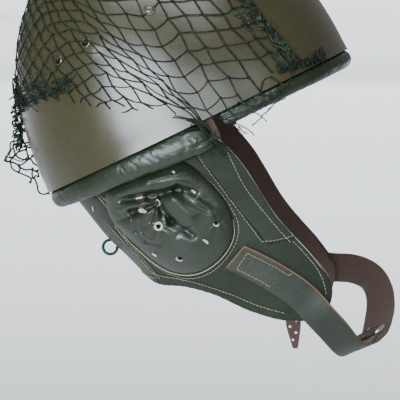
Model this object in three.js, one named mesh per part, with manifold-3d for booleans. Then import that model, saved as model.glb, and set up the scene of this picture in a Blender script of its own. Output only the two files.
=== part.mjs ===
// Paratrooper helmet: a painted steel dome on padded leather rim rolls, with leather ear flaps,
// a nape curtain, a chin strap and a knotted camouflage net.
// Millimetres, +Z up, +X the way the wearer faces, -Y the wearer's right side.
// The origin is the inside of the crown, where the wearer's head carries the helmet.

import * as THREE from 'three';
import { mergeVertices } from 'three/addons/utils/BufferGeometryUtils.js';
import Module from 'manifold-3d';

const wasm = await Module();
wasm.setup();

// Driving dimensions of the shell
const PITCH = THREE.MathUtils.degToRad(25.8);   // the front of the rim is worn this much above level
const SHELL_HALF_LENGTH = 132;
const SHELL_HALF_WIDTH = 114;
const SHELL_HEIGHT = 172;
const SHELL_WALL = 1.2;
const SHELL_FULLNESS = 2.2;                     // 2 is an ellipsoid, more is a fuller dome
const LIP_FLARE = 0.3;
const LIP_HEIGHT = 6;

// Driving dimensions of the leather
const LEATHER = 2.2;
const GAP = 0.3;
const ROLL_THICKNESS = 14;
const ROLL_PROUD = 0.2;                         // the roll stands this far out past the steel
const ROLL_TUCK = 1.4;                          // and its round top reaches this far up inside the steel
const FLAP_INSET = 15.7;                        // top of the flaps, inwards from the outside of the shell
const STRAP_WIDTH = 23;
const STRAP_SEWN_WIDTH = 20.5;                   // the strap is cut narrower where it is sewn to the flap
const STRAP_THICKNESS = 2.4;

// Driving dimensions of the small parts
const VENT_HOLE_RADIUS = 2.4;
const GROMMET_RADIUS = 4.2;
const GROMMET_HEIGHT = 0.7;
const GROMMET_WALL = 1;
const GROMMET_DEPTH = 3;
const RIVET_RADIUS = 4.6;
const RIVET_SHANK_RADIUS = 2.0;
const RIVET_SHANK = 4;
const RIVET_DOME = 1.6;
const BUCKLE_WIRE = 2.6;
const BUCKLE_LENGTH = 13;
const CORD_DIAMETER = 2.0;
const TWINE = 2.4;

const DEG = Math.PI / 180;
const MERGE_DISTANCE = 1e-4;
const X_AXIS = new THREE.Vector3(1, 0, 0);
const Y_AXIS = new THREE.Vector3(0, 1, 0);
const UP = new THREE.Vector3(0, 0, 1);

const helmet = new THREE.Group();
helmet.name = 'paratrooper_helmet';

const FINISH = {
  steel: { color: 0x5b5a3c, roughness: 0.5, metalness: 0.0 },
  leather: { color: 0x2f3a2b, roughness: 0.35, metalness: 0.0 },
  nickel: { color: 0xb9b7ae, roughness: 0.3, metalness: 1.0 },
  twine: { color: 0x27402b, roughness: 0.9, metalness: 0.0 },
};

function add(name, geometry, finish) {
  const mesh = new THREE.Mesh(geometry, new THREE.MeshStandardMaterial(FINISH[finish]));
  mesh.name = name;
  helmet.add(mesh);
}

// Point of the shell frame (u forward, w left, v up from the rim plane) in the part's frame
function fromShell(u, w, v) {
  return new THREE.Vector3(u, w, v - (SHELL_HEIGHT - SHELL_WALL)).applyAxisAngle(Y_AXIS, -PITCH);
}

// Closed grids

// Closed body from two matching grids of points, grid[row][column]: front and back.
// A wrapped grid joins its last column to its first.
function slab(front, back, wrapped = false) {
  const rows = front.length;
  const columns = front[0].length;
  const positions = [...front.flat(), ...back.flat()].flatMap((p) => p.toArray());
  const half = rows * columns;
  const index = [];
  const at = (side, r, c) => side * half + r * columns + (c % columns);
  const quad = (a, b, c, d) => index.push(a, b, c, a, c, d);
  const spans = wrapped ? columns : columns - 1;
  for (let r = 0; r < rows - 1; r += 1) {
    for (let c = 0; c < spans; c += 1) {
      quad(at(0, r, c), at(0, r, c + 1), at(0, r + 1, c + 1), at(0, r + 1, c));
      quad(at(1, r, c), at(1, r + 1, c), at(1, r + 1, c + 1), at(1, r, c + 1));
    }
  }
  for (let c = 0; c < spans; c += 1) {
    quad(at(0, 0, c), at(1, 0, c), at(1, 0, c + 1), at(0, 0, c + 1));
    quad(at(0, rows - 1, c + 1), at(1, rows - 1, c + 1), at(1, rows - 1, c), at(0, rows - 1, c));
  }
  if (!wrapped) {
    for (let r = 0; r < rows - 1; r += 1) {
      const end = columns - 1;
      quad(at(0, r + 1, 0), at(1, r + 1, 0), at(1, r, 0), at(0, r, 0));
      quad(at(0, r, end), at(1, r, end), at(1, r + 1, end), at(0, r + 1, end));
    }
  }
  return outward(closed(positions, index));
}

// Closed tube through rings of points, with a flat fan at each end or joined end to start
function tube(rings, joined = false) {
  const sides = rings[0].length;
  const positions = rings.flat().flatMap((p) => p.toArray());
  const index = [];
  const at = (r, c) => (r % rings.length) * sides + (c % sides);
  const spans = joined ? rings.length : rings.length - 1;
  for (let r = 0; r < spans; r += 1) {
    for (let c = 0; c < sides; c += 1) {
      index.push(at(r, c), at(r, c + 1), at(r + 1, c + 1), at(r, c), at(r + 1, c + 1), at(r + 1, c));
    }
  }
  if (!joined) {
    for (let c = 1; c < sides - 1; c += 1) {
      index.push(at(0, 0), at(0, c + 1), at(0, c));
      index.push(at(rings.length - 1, 0), at(rings.length - 1, c), at(rings.length - 1, c + 1));
    }
  }
  return outward(closed(positions, index));
}

// Merges shared points and drops the triangles that this leaves without an area
function closed(positions, index) {
  const geometry = new THREE.BufferGeometry();
  geometry.setAttribute('position', new THREE.Float32BufferAttribute(positions, 3));
  geometry.setIndex(index);
  const merged = mergeVertices(geometry, MERGE_DISTANCE);
  const kept = [];
  const all = merged.getIndex().array;
  for (let i = 0; i < all.length; i += 3) {
    const [a, b, c] = all.slice(i, i + 3);
    if (a !== b && b !== c && a !== c) {
      kept.push(a, b, c);
    }
  }
  merged.setIndex(kept);
  return merged;
}

function volume(geometry) {
  const p = geometry.getAttribute('position');
  const index = geometry.getIndex();
  const [a, b, c] = [new THREE.Vector3(), new THREE.Vector3(), new THREE.Vector3()];
  let sum = 0;
  for (let i = 0; i < index.count; i += 3) {
    a.fromBufferAttribute(p, index.getX(i));
    b.fromBufferAttribute(p, index.getX(i + 1));
    c.fromBufferAttribute(p, index.getX(i + 2));
    sum += a.dot(b.cross(c)) / 6;
  }
  return sum;
}

// Turns a closed body's faces outwards
function outward(geometry) {
  if (volume(geometry) < 0) {
    const turned = geometry.getIndex().array;
    for (let i = 0; i < turned.length; i += 3) {
      [turned[i], turned[i + 1]] = [turned[i + 1], turned[i]];
    }
  }
  return geometry;
}

// Cutting and joining

function toManifold(geometry) {
  const bare = geometry.clone();
  bare.deleteAttribute('normal');
  bare.deleteAttribute('uv');
  const merged = mergeVertices(bare, MERGE_DISTANCE);
  return new wasm.Manifold(new wasm.Mesh({
    numProp: 3,
    vertProperties: new Float32Array(merged.getAttribute('position').array),
    triVerts: new Uint32Array(merged.getIndex().array),
  }));
}

function fromManifold(solid) {
  const mesh = solid.getMesh();
  const geometry = new THREE.BufferGeometry();
  geometry.setAttribute('position', new THREE.BufferAttribute(mesh.vertProperties, 3));
  geometry.setIndex(new THREE.BufferAttribute(mesh.triVerts, 1));
  return geometry;
}

function cut(geometry, tools) {
  const solid = toManifold(geometry);
  return fromManifold(tools.reduce((rest, tool) => rest.subtract(toManifold(tool)), solid));
}

// Cylinder with its middle at a point and its length along a direction
function pin(radius, length, centre, direction, sides = 12, stretch = 1) {
  const geometry = new THREE.CylinderGeometry(radius, radius, length, sides);
  geometry.scale(stretch, 1, 1);
  const turn = new THREE.Quaternion().setFromUnitVectors(Y_AXIS, direction.clone().normalize());
  geometry.applyQuaternion(turn);
  geometry.translate(centre.x, centre.y, centre.z);
  return geometry;
}

// The wearer's left side is the right side turned over across the middle plane
function mirrored(geometry) {
  const copy = geometry.clone();
  copy.scale(1, -1, 1);
  return outward(copy);
}

function addPair(name, geometry, finish) {
  add(`right_${name}`, geometry, finish);
  add(`left_${name}`, mirrored(geometry), finish);
}

// Steel shell

const SHELL_AROUND = 36;
const SHELL_RINGS = 9;
const SHELL_RING_GROWTH = 1.1;     // above 1 draws the rings closer together near the rim

// Point of the dome at an azimuth (0 is the front, positive is the wearer's right)
// and a rise (0 is the rim, a right angle is the crown)
function domePoint(azimuth, rise, inwards = 0) {
  const flat = Math.max(Math.cos(rise), 0) ** (2 / SHELL_FULLNESS);
  const tall = Math.sin(rise) ** (2 / SHELL_FULLNESS);
  const v = (SHELL_HEIGHT - inwards) * tall;
  const lip = LIP_FLARE * Math.max(0, 1 - v / LIP_HEIGHT);
  return fromShell(
    (SHELL_HALF_LENGTH - inwards + lip) * flat * Math.cos(azimuth),
    -(SHELL_HALF_WIDTH - inwards + lip) * flat * Math.sin(azimuth),
    v,
  );
}

// Outward normal, from the slope of (spread ^ fullness + (height / SHELL_HEIGHT) ^ fullness)
function domeNormal(azimuth, rise) {
  const flat = Math.max(Math.cos(rise), 0) ** (2 / SHELL_FULLNESS);
  const tall = Math.sin(rise) ** (2 / SHELL_FULLNESS);
  const spread = flat ** (SHELL_FULLNESS - 1);
  return new THREE.Vector3(
    (spread * Math.cos(azimuth)) / SHELL_HALF_LENGTH,
    (-spread * Math.sin(azimuth)) / SHELL_HALF_WIDTH,
    tall ** (SHELL_FULLNESS - 1) / SHELL_HEIGHT,
  ).applyAxisAngle(Y_AXIS, -PITCH).normalize();
}

function domeSkin(inwards) {
  const rings = [];
  for (let r = 0; r < SHELL_RINGS; r += 1) {
    const rise = (Math.PI / 2) * (r / SHELL_RINGS) ** SHELL_RING_GROWTH;
    const ring = [];
    for (let c = 0; c < SHELL_AROUND; c += 1) {
      ring.push(domePoint((c / SHELL_AROUND) * 2 * Math.PI, rise, inwards));
    }
    rings.push(ring);
  }
  return rings;
}

function shellGeometry() {
  const outer = domeSkin(0);
  const inner = domeSkin(SHELL_WALL);
  const positions = [...outer.flat(), ...inner.flat()].flatMap((p) => p.toArray());
  const half = SHELL_RINGS * SHELL_AROUND;
  const crowns = [domePoint(0, Math.PI / 2), domePoint(0, Math.PI / 2, SHELL_WALL)];
  crowns.forEach((p) => positions.push(...p.toArray()));
  const at = (side, r, c) => side * half + r * SHELL_AROUND + (c % SHELL_AROUND);
  const top = SHELL_RINGS - 1;
  const index = [];
  const quad = (a, b, c, d) => index.push(a, b, c, a, c, d);
  for (let c = 0; c < SHELL_AROUND; c += 1) {
    for (let r = 0; r < top; r += 1) {
      quad(at(0, r, c), at(0, r + 1, c), at(0, r + 1, c + 1), at(0, r, c + 1));
      quad(at(1, r, c), at(1, r, c + 1), at(1, r + 1, c + 1), at(1, r + 1, c));
    }
    index.push(at(0, top, c), 2 * half, at(0, top, c + 1));
    index.push(at(1, top, c), at(1, top, c + 1), 2 * half + 1);
    quad(at(0, 0, c), at(0, 0, c + 1), at(1, 0, c + 1), at(1, 0, c));
  }
  return outward(closed(positions, index));
}

// Places on the right side of the dome: azimuth from the front and rise from the rim, in degrees
const FITTINGS = [
  { name: 'liner_rivet', azimuth: 84, rise: 30.5 },
  { name: 'vent_front', azimuth: 112, rise: 30 },
  { name: 'vent_back', azimuth: 126.5, rise: 29 },
];

function fittingPlace({ azimuth, rise }) {
  return {
    centre: domePoint(azimuth * DEG, rise * DEG),
    normal: domeNormal(azimuth * DEG, rise * DEG),
  };
}

function shellHoles() {
  const holes = FITTINGS.map((fitting) => {
    const { centre, normal } = fittingPlace(fitting);
    const isRivet = fitting.name === 'liner_rivet';
    const neck = isRivet ? RIVET_SHANK_RADIUS : VENT_HOLE_RADIUS + GROMMET_WALL;
    return pin(neck + GAP, 8 * SHELL_WALL, centre, normal);
  });
  return [...holes, ...holes.map(mirrored)];
}

add('steel_shell', cut(shellGeometry(), shellHoles()), 'steel');

// Vent grommets and liner rivets, turned about the normal of the shell

const FITTING_SIDES = 10;

function turned(profile, centre, normal, sides) {
  const points = profile.map(([r, h]) => new THREE.Vector2(r, h));
  const geometry = new THREE.LatheGeometry(points, sides);
  geometry.deleteAttribute('normal');
  geometry.deleteAttribute('uv');
  geometry.applyQuaternion(new THREE.Quaternion().setFromUnitVectors(Y_AXIS, normal));
  geometry.translate(centre.x, centre.y, centre.z);
  return outward(mergeVertices(geometry, MERGE_DISTANCE));
}

// Heights are above the outside of the shell; the curve of the dome falls away from the flat of the flange
const FLANGE_SEAT = GAP;
const GROMMET_PROFILE = [
  [VENT_HOLE_RADIUS, FLANGE_SEAT + GROMMET_HEIGHT],
  [VENT_HOLE_RADIUS, -GROMMET_DEPTH],
  [VENT_HOLE_RADIUS + GROMMET_WALL, -GROMMET_DEPTH],
  [VENT_HOLE_RADIUS + GROMMET_WALL, FLANGE_SEAT],
  [GROMMET_RADIUS, FLANGE_SEAT],
  [GROMMET_RADIUS, FLANGE_SEAT + 0.4 * GROMMET_HEIGHT],
  [0.5 * (GROMMET_RADIUS + VENT_HOLE_RADIUS), FLANGE_SEAT + GROMMET_HEIGHT],
  [VENT_HOLE_RADIUS, FLANGE_SEAT + GROMMET_HEIGHT],
];
const RIVET_PROFILE = [
  [0, -RIVET_SHANK],
  [RIVET_SHANK_RADIUS, -RIVET_SHANK],
  [RIVET_SHANK_RADIUS, FLANGE_SEAT],
  [RIVET_RADIUS, FLANGE_SEAT],
  [RIVET_RADIUS * 0.92, FLANGE_SEAT + RIVET_DOME * 0.4],
  [RIVET_RADIUS * 0.6, FLANGE_SEAT + RIVET_DOME * 0.8],
  [0, FLANGE_SEAT + RIVET_DOME],
];

FITTINGS.forEach((fitting) => {
  const { centre, normal } = fittingPlace(fitting);
  const profile = fitting.name === 'liner_rivet' ? RIVET_PROFILE : GROMMET_PROFILE;
  addPair(fitting.name, turned(profile, centre, normal, FITTING_SIDES), 'steel');
});

// Padded rim rolls

// Azimuth in degrees from the front, and the height of the roll below the edge of the steel
const BROW_ROLL = [
  { azimuth: 0, height: 14 },
  { azimuth: 45, height: 13.5 },
  { azimuth: 78.5, height: 13 },
];
const NAPE_ROLL = [
  { azimuth: 86, height: 25.5 },
  { azimuth: 105, height: 22 },
  { azimuth: 125, height: 19 },
  { azimuth: 150, height: 17 },
  { azimuth: 180, height: 15.5 },
];
const NAPE_END_LEAN = 4;          // degrees by which the foot of the nape roll reaches further forward
const ROLL_END_FULLNESS = [0.62, 0.86, 0.96];
const ROLL_LEAN_STEPS = 6;        // rings from the end over which the lean fades out
const ROLL_SIDES = 10;
const ROLL_SQUARENESS = 2.6;

function interpolate(table, key, value, column) {
  const last = table.length - 1;
  const found = table.findIndex((row) => row[key] > value);
  const i = Math.min(Math.max(found < 0 ? last : found, 1), last);
  const [low, high] = [table[i - 1], table[i]];
  const t = THREE.MathUtils.clamp((value - low[key]) / (high[key] - low[key]), 0, 1);
  return THREE.MathUtils.lerp(low[column], high[column], t);
}

// One ring of the roll; fullness below 1 draws the section in towards its middle, for the closed ends
function rollRing(azimuth, height, fullness, lean) {
  const centreIn = ROLL_THICKNESS / 2 - ROLL_PROUD;
  const ring = [];
  for (let i = 0; i < ROLL_SIDES; i += 1) {
    const a = (i / ROLL_SIDES) * 2 * Math.PI;
    const across = Math.sign(Math.cos(a)) * Math.abs(Math.cos(a)) ** (2 / ROLL_SQUARENESS);
    const tall = Math.sign(Math.sin(a)) * Math.abs(Math.sin(a)) ** (2 / ROLL_SQUARENESS);
    const inwards = centreIn - across * fullness * (ROLL_THICKNESS / 2);
    const v = ROLL_TUCK - GAP - height / 2 + tall * fullness * (height / 2);
    const turn = (azimuth + lean * (v / height)) * DEG;
    ring.push(fromShell(
      (SHELL_HALF_LENGTH - inwards) * Math.cos(turn),
      -(SHELL_HALF_WIDTH - inwards) * Math.sin(turn),
      v,
    ));
  }
  return ring;
}

// Rings run from one end of the roll, round the helmet, to the other.
// The table holds the wearer's right half.
function rollGeometry(table, from, to, steps, lean) {
  const rings = [];
  for (let i = 0; i <= steps; i += 1) {
    const t = i / steps;
    const azimuth = THREE.MathUtils.lerp(from, to, t);
    const mirroredAzimuth = azimuth > 180 ? 360 - azimuth : Math.abs(azimuth);
    const fromEnd = Math.min(i, steps - i);
    const fullness = ROLL_END_FULLNESS[fromEnd] ?? 1;
    const leanHere = lean * (1 - Math.min(1, fromEnd / ROLL_LEAN_STEPS)) * Math.sign(0.5 - t);
    const height = interpolate(table, 'azimuth', mirroredAzimuth, 'height');
    rings.push(rollRing(azimuth, height, fullness, leanHere));
  }
  return tube(rings);
}

add('brow_roll', rollGeometry(BROW_ROLL, -78.5, 78.5, 22, 0), 'leather');
add('nape_roll', rollGeometry(NAPE_ROLL, 86, 274, 28, NAPE_END_LEAN), 'leather');

// Leather skirt: nape curtain and ear flaps are cut from one surface of the wearer's right half.
// A row for each station from the middle of the nape to the front edge. The top lies on the inside
// of the rim rolls at an azimuth; the columns below are x, y, z at a quarter, half, three quarters
// and the whole of the way down to the hem.
const SKIRT = [
  { top: 180, upper: [-13, 0, -227], mid: [4, 0, -248], low: [20, 0, -263], hem: [34, 0, -277] },
  { top: 165, upper: [-6, -34, -222], mid: [9, -32, -243], low: [25, -28, -260], hem: [41, -24, -280] },
  { top: 150, upper: [5, -60, -215], mid: [16, -54, -237], low: [31, -48, -257], hem: [50, -42, -281] },
  { top: 132, upper: [24, -81, -207], mid: [35, -75, -231], low: [50, -66, -256], hem: [69, -56, -281] },
  { top: 117, upper: [44, -90, -201], mid: [59, -85, -226], low: [74, -79, -253], hem: [93, -66, -286] },
  { top: 106, upper: [66, -93, -195], mid: [81, -88, -220], low: [99, -82, -250], hem: [121, -71, -298] },
  { top: 97, upper: [87, -92, -189], mid: [102, -86, -216], low: [124, -81, -249], hem: [151, -71, -305] },
  { top: 90, upper: [105, -90, -185], mid: [123, -83, -216], low: [147, -77, -251], hem: [174, -67, -302] },
  { top: 83, upper: [119, -87, -183], mid: [141, -79, -221], low: [167, -71, -254], hem: [187, -63, -286] },
];
const SKIRT_TOP_DROP = 2;          // the leather starts this far below the edge of the steel
const SKIRT_LEVELS = ['upper', 'mid', 'low', 'hem'];
const SKIRT_STEP = 0.01;           // share of the skirt over which its slopes are measured
const SEARCH_ALONG = 16;
const SEARCH_DOWN = 10;
const SEARCH_TURNS = 5;

function rollInside(azimuthDegrees) {
  return fromShell(
    (SHELL_HALF_LENGTH - FLAP_INSET) * Math.cos(azimuthDegrees * DEG),
    -(SHELL_HALF_WIDTH - FLAP_INSET) * Math.sin(azimuthDegrees * DEG),
    -SKIRT_TOP_DROP,
  );
}

const SKIRT_STATIONS = SKIRT.map((row) => new THREE.CatmullRomCurve3([
  rollInside(row.top),
  ...SKIRT_LEVELS.map((level) => new THREE.Vector3(...row[level])),
]));
const MIRROR = new THREE.Vector3(1, -1, 1);

// The skirt's curve round the wearer's neck at one level, kept for the next point on that level
const skirtLevels = new Map();

function skirtLevel(down) {
  if (!skirtLevels.has(down)) {
    const right = SKIRT_STATIONS.map((station) => station.getPoint(down));
    const left = right.slice(1).reverse().map((p) => p.clone().multiply(MIRROR));
    skirtLevels.set(down, new THREE.CatmullRomCurve3([...left, ...right]));
  }
  return skirtLevels.get(down);
}

// Point of the skirt: along runs from 0 at the nape to 1 at the front edge (negative is the left half),
// down runs from 0 at the rolls to 1 at the hem
function skirtPoint(along, down) {
  return skirtLevel(down).getPoint(0.5 + 0.5 * along);
}

// Outward normal of the skirt
function skirtNormal(along, down) {
  const a0 = Math.max(along - SKIRT_STEP, -1);
  const a1 = Math.min(along + SKIRT_STEP, 1);
  const d0 = Math.max(down - SKIRT_STEP, 0);
  const d1 = Math.min(down + SKIRT_STEP, 1);
  const across = skirtPoint(a1, down).sub(skirtPoint(a0, down));
  const downwards = skirtPoint(along, d1).sub(skirtPoint(along, d0));
  return downwards.cross(across).normalize();
}

// Leather panel on the skirt. Its range gives, for each share of the way from head to foot,
// where the row starts and ends along the skirt, and how far down each of its ends lies.
function panel(range, columns, rows, lift, thickness) {
  const front = [];
  const back = [];
  for (let r = 0; r <= rows; r += 1) {
    const [frontRow, backRow] = [[], []];
    const { from, to, fromDown, toDown } = range(r / rows);
    for (let c = 0; c <= columns; c += 1) {
      const along = THREE.MathUtils.lerp(from, to, c / columns);
      const down = THREE.MathUtils.lerp(fromDown, toDown, c / columns);
      const point = skirtPoint(along, down);
      const normal = skirtNormal(along, down);
      frontRow.push(point.clone().addScaledVector(normal, lift + thickness / 2));
      backRow.push(point.clone().addScaledVector(normal, lift - thickness / 2));
    }
    front.push(frontRow);
    back.push(backRow);
  }
  return slab(front, back);
}

const NAPE_SEAM = 0.25;            // where the nape curtain meets each ear flap
const SEAM_GAP = 0.0025;
const BAND_LEATHER = 1.8;
const BAND_FROM = 0.79;
const BAND_TO = 0.99;
const BAND_TOP = 0.16;
const BAND_FOOT_BACK = 0.76;
const BAND_FOOT_FRONT = 0.69;

const NAPE_REACH = NAPE_SEAM - SEAM_GAP;
const napeRange = (t) => ({ from: -NAPE_REACH, to: NAPE_REACH, fromDown: t, toDown: t });
const flapRange = (t) => ({ from: NAPE_SEAM + SEAM_GAP, to: 1, fromDown: t, toDown: t });
const bandRange = (t) => ({
  from: BAND_FROM,
  to: BAND_TO,
  fromDown: THREE.MathUtils.lerp(BAND_TOP, BAND_FOOT_BACK, t),
  toDown: THREE.MathUtils.lerp(BAND_TOP, BAND_FOOT_FRONT, t),
});

// Where the right half of the skirt lies at a place x, z of the side view:
// the nearest of a grid of places, then a few steps along the slopes of the skirt
function skirtAt(x, z) {
  let best = { miss: Infinity };
  for (let i = 2; i <= SEARCH_ALONG; i += 1) {
    for (let j = 0; j <= SEARCH_DOWN; j += 1) {
      const place = { along: i / SEARCH_ALONG, down: j / SEARCH_DOWN };
      const p = skirtPoint(place.along, place.down);
      const miss = Math.hypot(p.x - x, p.z - z);
      if (miss < best.miss) {
        best = { miss, ...place };
      }
    }
  }
  let { along, down } = best;
  for (let turn = 0; turn < SEARCH_TURNS; turn += 1) {
    const here = skirtPoint(along, down);
    const a = skirtPoint(along + SKIRT_STEP, down).sub(here).divideScalar(SKIRT_STEP);
    const d = skirtPoint(along, down + SKIRT_STEP).sub(here).divideScalar(SKIRT_STEP);
    const [missX, missZ] = [x - here.x, z - here.z];
    const scale = a.x * d.z - a.z * d.x;
    along = THREE.MathUtils.clamp(along + (missX * d.z - missZ * d.x) / scale, 0, 1 - SKIRT_STEP);
    down = THREE.MathUtils.clamp(down + (a.x * missZ - a.z * missX) / scale, 0, 1 - SKIRT_STEP);
  }
  return { point: skirtPoint(along, down), normal: skirtNormal(along, down) };
}

// Hearing holes of the ear section, x and z in the side view, with the half width and half height of each
const HEARING_HOLES = [
  { name: 'main eyelet', x: 52, z: -229, radius: 2.0, stretch: 1 },
  { name: 'pinch', x: 51, z: -209, radius: 1.5, stretch: 1.6 },
  { name: 'upper', x: 63, z: -188, radius: 1.2, stretch: 1.4 },
  { name: 'rear blob', x: 39, z: -217, radius: 1.2, stretch: 1.4 },
  { name: 'front low', x: 95, z: -227, radius: 1.3, stretch: 1.2 },
  { name: 'front slit', x: 79, z: -203, radius: 0.9, stretch: 2 },
  { name: 'low slit', x: 87, z: -241, radius: 0.9, stretch: 2 },
  { name: 'foot slit', x: 67, z: -255, radius: 0.9, stretch: 2 },
];
const HOLE_SIDES = 6;
const HOLE_DEPTH = 60;

function hearingHoles() {
  return HEARING_HOLES.map(({ x, z, radius, stretch }) => {
    const { point, normal } = skirtAt(x, z);
    return pin(radius, HOLE_DEPTH, point, normal, HOLE_SIDES, stretch);
  });
}

add('nape_curtain', panel(napeRange, 10, 7, 0, LEATHER), 'leather');
addPair('ear_flap', cut(panel(flapRange, 12, 8, 0, LEATHER), hearingHoles()), 'leather');
addPair('front_band', panel(bandRange, 2, 6, LEATHER + GAP, BAND_LEATHER), 'leather');

// Ear pocket: a puffed panel on the ear flap. Outline x, z in the side view.
const POCKET_OUTLINE = [
  [11, -206], [26, -199], [42, -193], [58, -188], [74, -183], [88, -185],
  [99, -198], [106, -215], [108, -232], [103, -247], [90, -260], [74, -268],
  [58, -268], [45, -261], [32, -250], [20, -239], [12, -228], [9, -217],
];
const POCKET_CENTRE = { x: 58, z: -226 };
const POCKET_PUFF = 8.5;
const POCKET_EDGE = 1.5;
const POCKET_SEAT = LEATHER / 2 + 2 * GAP;
const POCKET_SECTORS = 24;
const POCKET_RINGS = [0, 0.2, 0.4, 0.6, 0.78, 0.92, 1];

// Folds of the puffed leather: a ridge rises and a crease sinks along a line from x0, z0 to x1, z1
const POCKET_FOLDS = [
  { name: 'rolled fold under the rim', x0: 14, z0: -207, x1: 78, z1: -190, width: 8, rise: 3.2 },
  { name: 'deep crease below it', x0: 22, z0: -213, x1: 78, z1: -203, width: 5, rise: -5.5 },
  { name: 'front lobe', x0: 70, z0: -208, x1: 84, z1: -222, width: 8, rise: 2.4 },
  { name: 'crease from the pinch', x0: 56, z0: -212, x1: 84, z1: -240, width: 5, rise: -4.0 },
  { name: 'rear crease', x0: 48, z0: -212, x1: 26, z1: -221, width: 5, rise: -3.0 },
  { name: 'rear ridge', x0: 30, z0: -226, x1: 20, z1: -233, width: 6, rise: 1.6 },
  { name: 'lower lobe', x0: 44, z0: -240, x1: 70, z1: -246, width: 11, rise: 1.8 },
];

function distanceToLine(x, z, { x0, z0, x1, z1 }) {
  const line = new THREE.Line3(new THREE.Vector3(x0, 0, z0), new THREE.Vector3(x1, 0, z1));
  const point = new THREE.Vector3(x, 0, z);
  return line.closestPointToPoint(point, true, new THREE.Vector3()).distanceTo(point);
}

function pocketRise(x, z, radius) {
  const crown = POCKET_EDGE + POCKET_PUFF * Math.max(0, 1 - radius ** 3) ** 0.7;
  const folds = POCKET_FOLDS.reduce((sum, fold) => (
    sum + fold.rise * Math.exp(-((distanceToLine(x, z, fold) / fold.width) ** 2))
  ), 0);
  return Math.max(POCKET_EDGE, crown + folds * (1 - radius ** 4));
}

function pocketGeometry() {
  const corners = POCKET_OUTLINE.map(([x, z]) => new THREE.Vector3(x, 0, z));
  const outline = new THREE.CatmullRomCurve3(corners, true);
  const [front, back] = [[], []];
  POCKET_RINGS.forEach((radius) => {
    const [frontRow, backRow] = [[], []];
    for (let c = 0; c < POCKET_SECTORS; c += 1) {
      const edge = outline.getPoint(c / POCKET_SECTORS);
      const x = THREE.MathUtils.lerp(POCKET_CENTRE.x, edge.x, radius);
      const z = THREE.MathUtils.lerp(POCKET_CENTRE.z, edge.z, radius);
      const { point, normal } = skirtAt(x, z);
      backRow.push(point.clone().addScaledVector(normal, POCKET_SEAT));
      frontRow.push(point.clone().addScaledVector(normal, POCKET_SEAT + pocketRise(x, z, radius)));
    }
    front.push(frontRow);
    back.push(backRow);
  });
  return slab(front, back, true);
}

addPair('ear_pocket', cut(pocketGeometry(), hearingHoles()), 'leather');

// Chin strap. Rows give the middle of the strap; a row with a z and no y lies on an ear flap,
// and the others give the way that the strap's outer face looks.
const STRAP_ON_FLAP = LEATHER / 2 + 2 * GAP + STRAP_THICKNESS / 2;
const RIGHT_STRAP = [
  { x: 109, z: -254 },
  { x: 121, z: -260 },
  { x: 132, z: -266 },
  { x: 143, z: -273 },
  { x: 153, z: -280 },
  { x: 162, z: -288 },
  { x: 175, y: -71, z: -302, face: [0.1, -0.98, -0.15] },
  { x: 185, y: -62, z: -314, face: [0.18, -0.92, -0.3] },
  { x: 193, y: -50, z: -325, face: [0.25, -0.78, -0.55] },
  { x: 198.5, y: -34, z: -332, face: [0.33, -0.42, -0.84] },
  { x: 204, y: -17, z: -332.5, face: [0.45, -0.1, -0.88] },
  { x: 209.5, y: -4, z: -328.5, face: [0.5, 0, -0.86] },
];
const LEFT_STRAP = [
  { x: 109, z: -254 },
  { x: 121, z: -259 },
  { x: 133, z: -264 },
  { x: 145, z: -269 },
  { x: 156, z: -273 },
  { x: 178, y: 72, z: -278, face: [0.08, 1, 0] },
  { x: 198, y: 67, z: -279, face: [0.2, 0.97, -0.05] },
  { x: 212, y: 58, z: -284, face: [0.25, 0.95, -0.15] },
  { x: 219, y: 47, z: -293, face: [0.15, 0.92, -0.35] },
  { x: 221, y: 36, z: -304, face: [0.08, 0.84, -0.52] },
  { x: 219.5, y: 25, z: -314.5, face: [0.2, 0.7, -0.68] },
  { x: 216.5, y: 13, z: -324.4, face: [0.35, 0.49, -0.8] },
  { x: 213, y: 3, z: -330, face: [0.48, 0.2, -0.85] },
  { x: 209.8, y: -5, z: -332.5, face: [0.5, 0.12, -0.86] },
];
const STRAP_TAPER_ROWS = 0.5;      // share of the strap's length over which it widens

const STRAP_STEPS = 26;

function strapRow({ x, y, z, face }, side) {
  if (face) {
    return { middle: new THREE.Vector3(x, y, z), face: new THREE.Vector3(...face).normalize() };
  }
  const { point, normal } = skirtAt(x, z);
  const flip = new THREE.Vector3(1, -side, 1);
  return {
    middle: point.addScaledVector(normal, STRAP_ON_FLAP).multiply(flip),
    face: normal.multiply(flip),
  };
}

// Frames along a strap: middle, run, width direction and face direction
function strapFrames(table, side, steps) {
  const rows = table.map((row) => strapRow(row, side));
  const path = new THREE.CatmullRomCurve3(rows.map((row) => row.middle));
  const faces = new THREE.CatmullRomCurve3(rows.map((row) => row.face));
  return Array.from({ length: steps + 1 }, (_, i) => {
    const t = i / steps;
    const run = path.getTangent(t);
    const across = run.clone().cross(faces.getPoint(t)).normalize();
    const width = THREE.MathUtils.lerp(STRAP_SEWN_WIDTH, STRAP_WIDTH, Math.min(1, t / STRAP_TAPER_ROWS));
    return { middle: path.getPoint(t), run, across, width, face: across.clone().cross(run).normalize() };
  });
}

// Flat strap through frames
function strapSolid(frames, thickness) {
  const [front, back] = [[], []];
  frames.forEach(({ middle, across, width, face }) => {
    const edges = [-0.5, 0.5].map((side) => middle.clone().addScaledVector(across, side * width));
    front.push(edges.map((p) => p.clone().addScaledVector(face, thickness / 2)));
    back.push(edges.map((p) => p.clone().addScaledVector(face, -thickness / 2)));
  });
  return slab(front, back);
}

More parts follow.
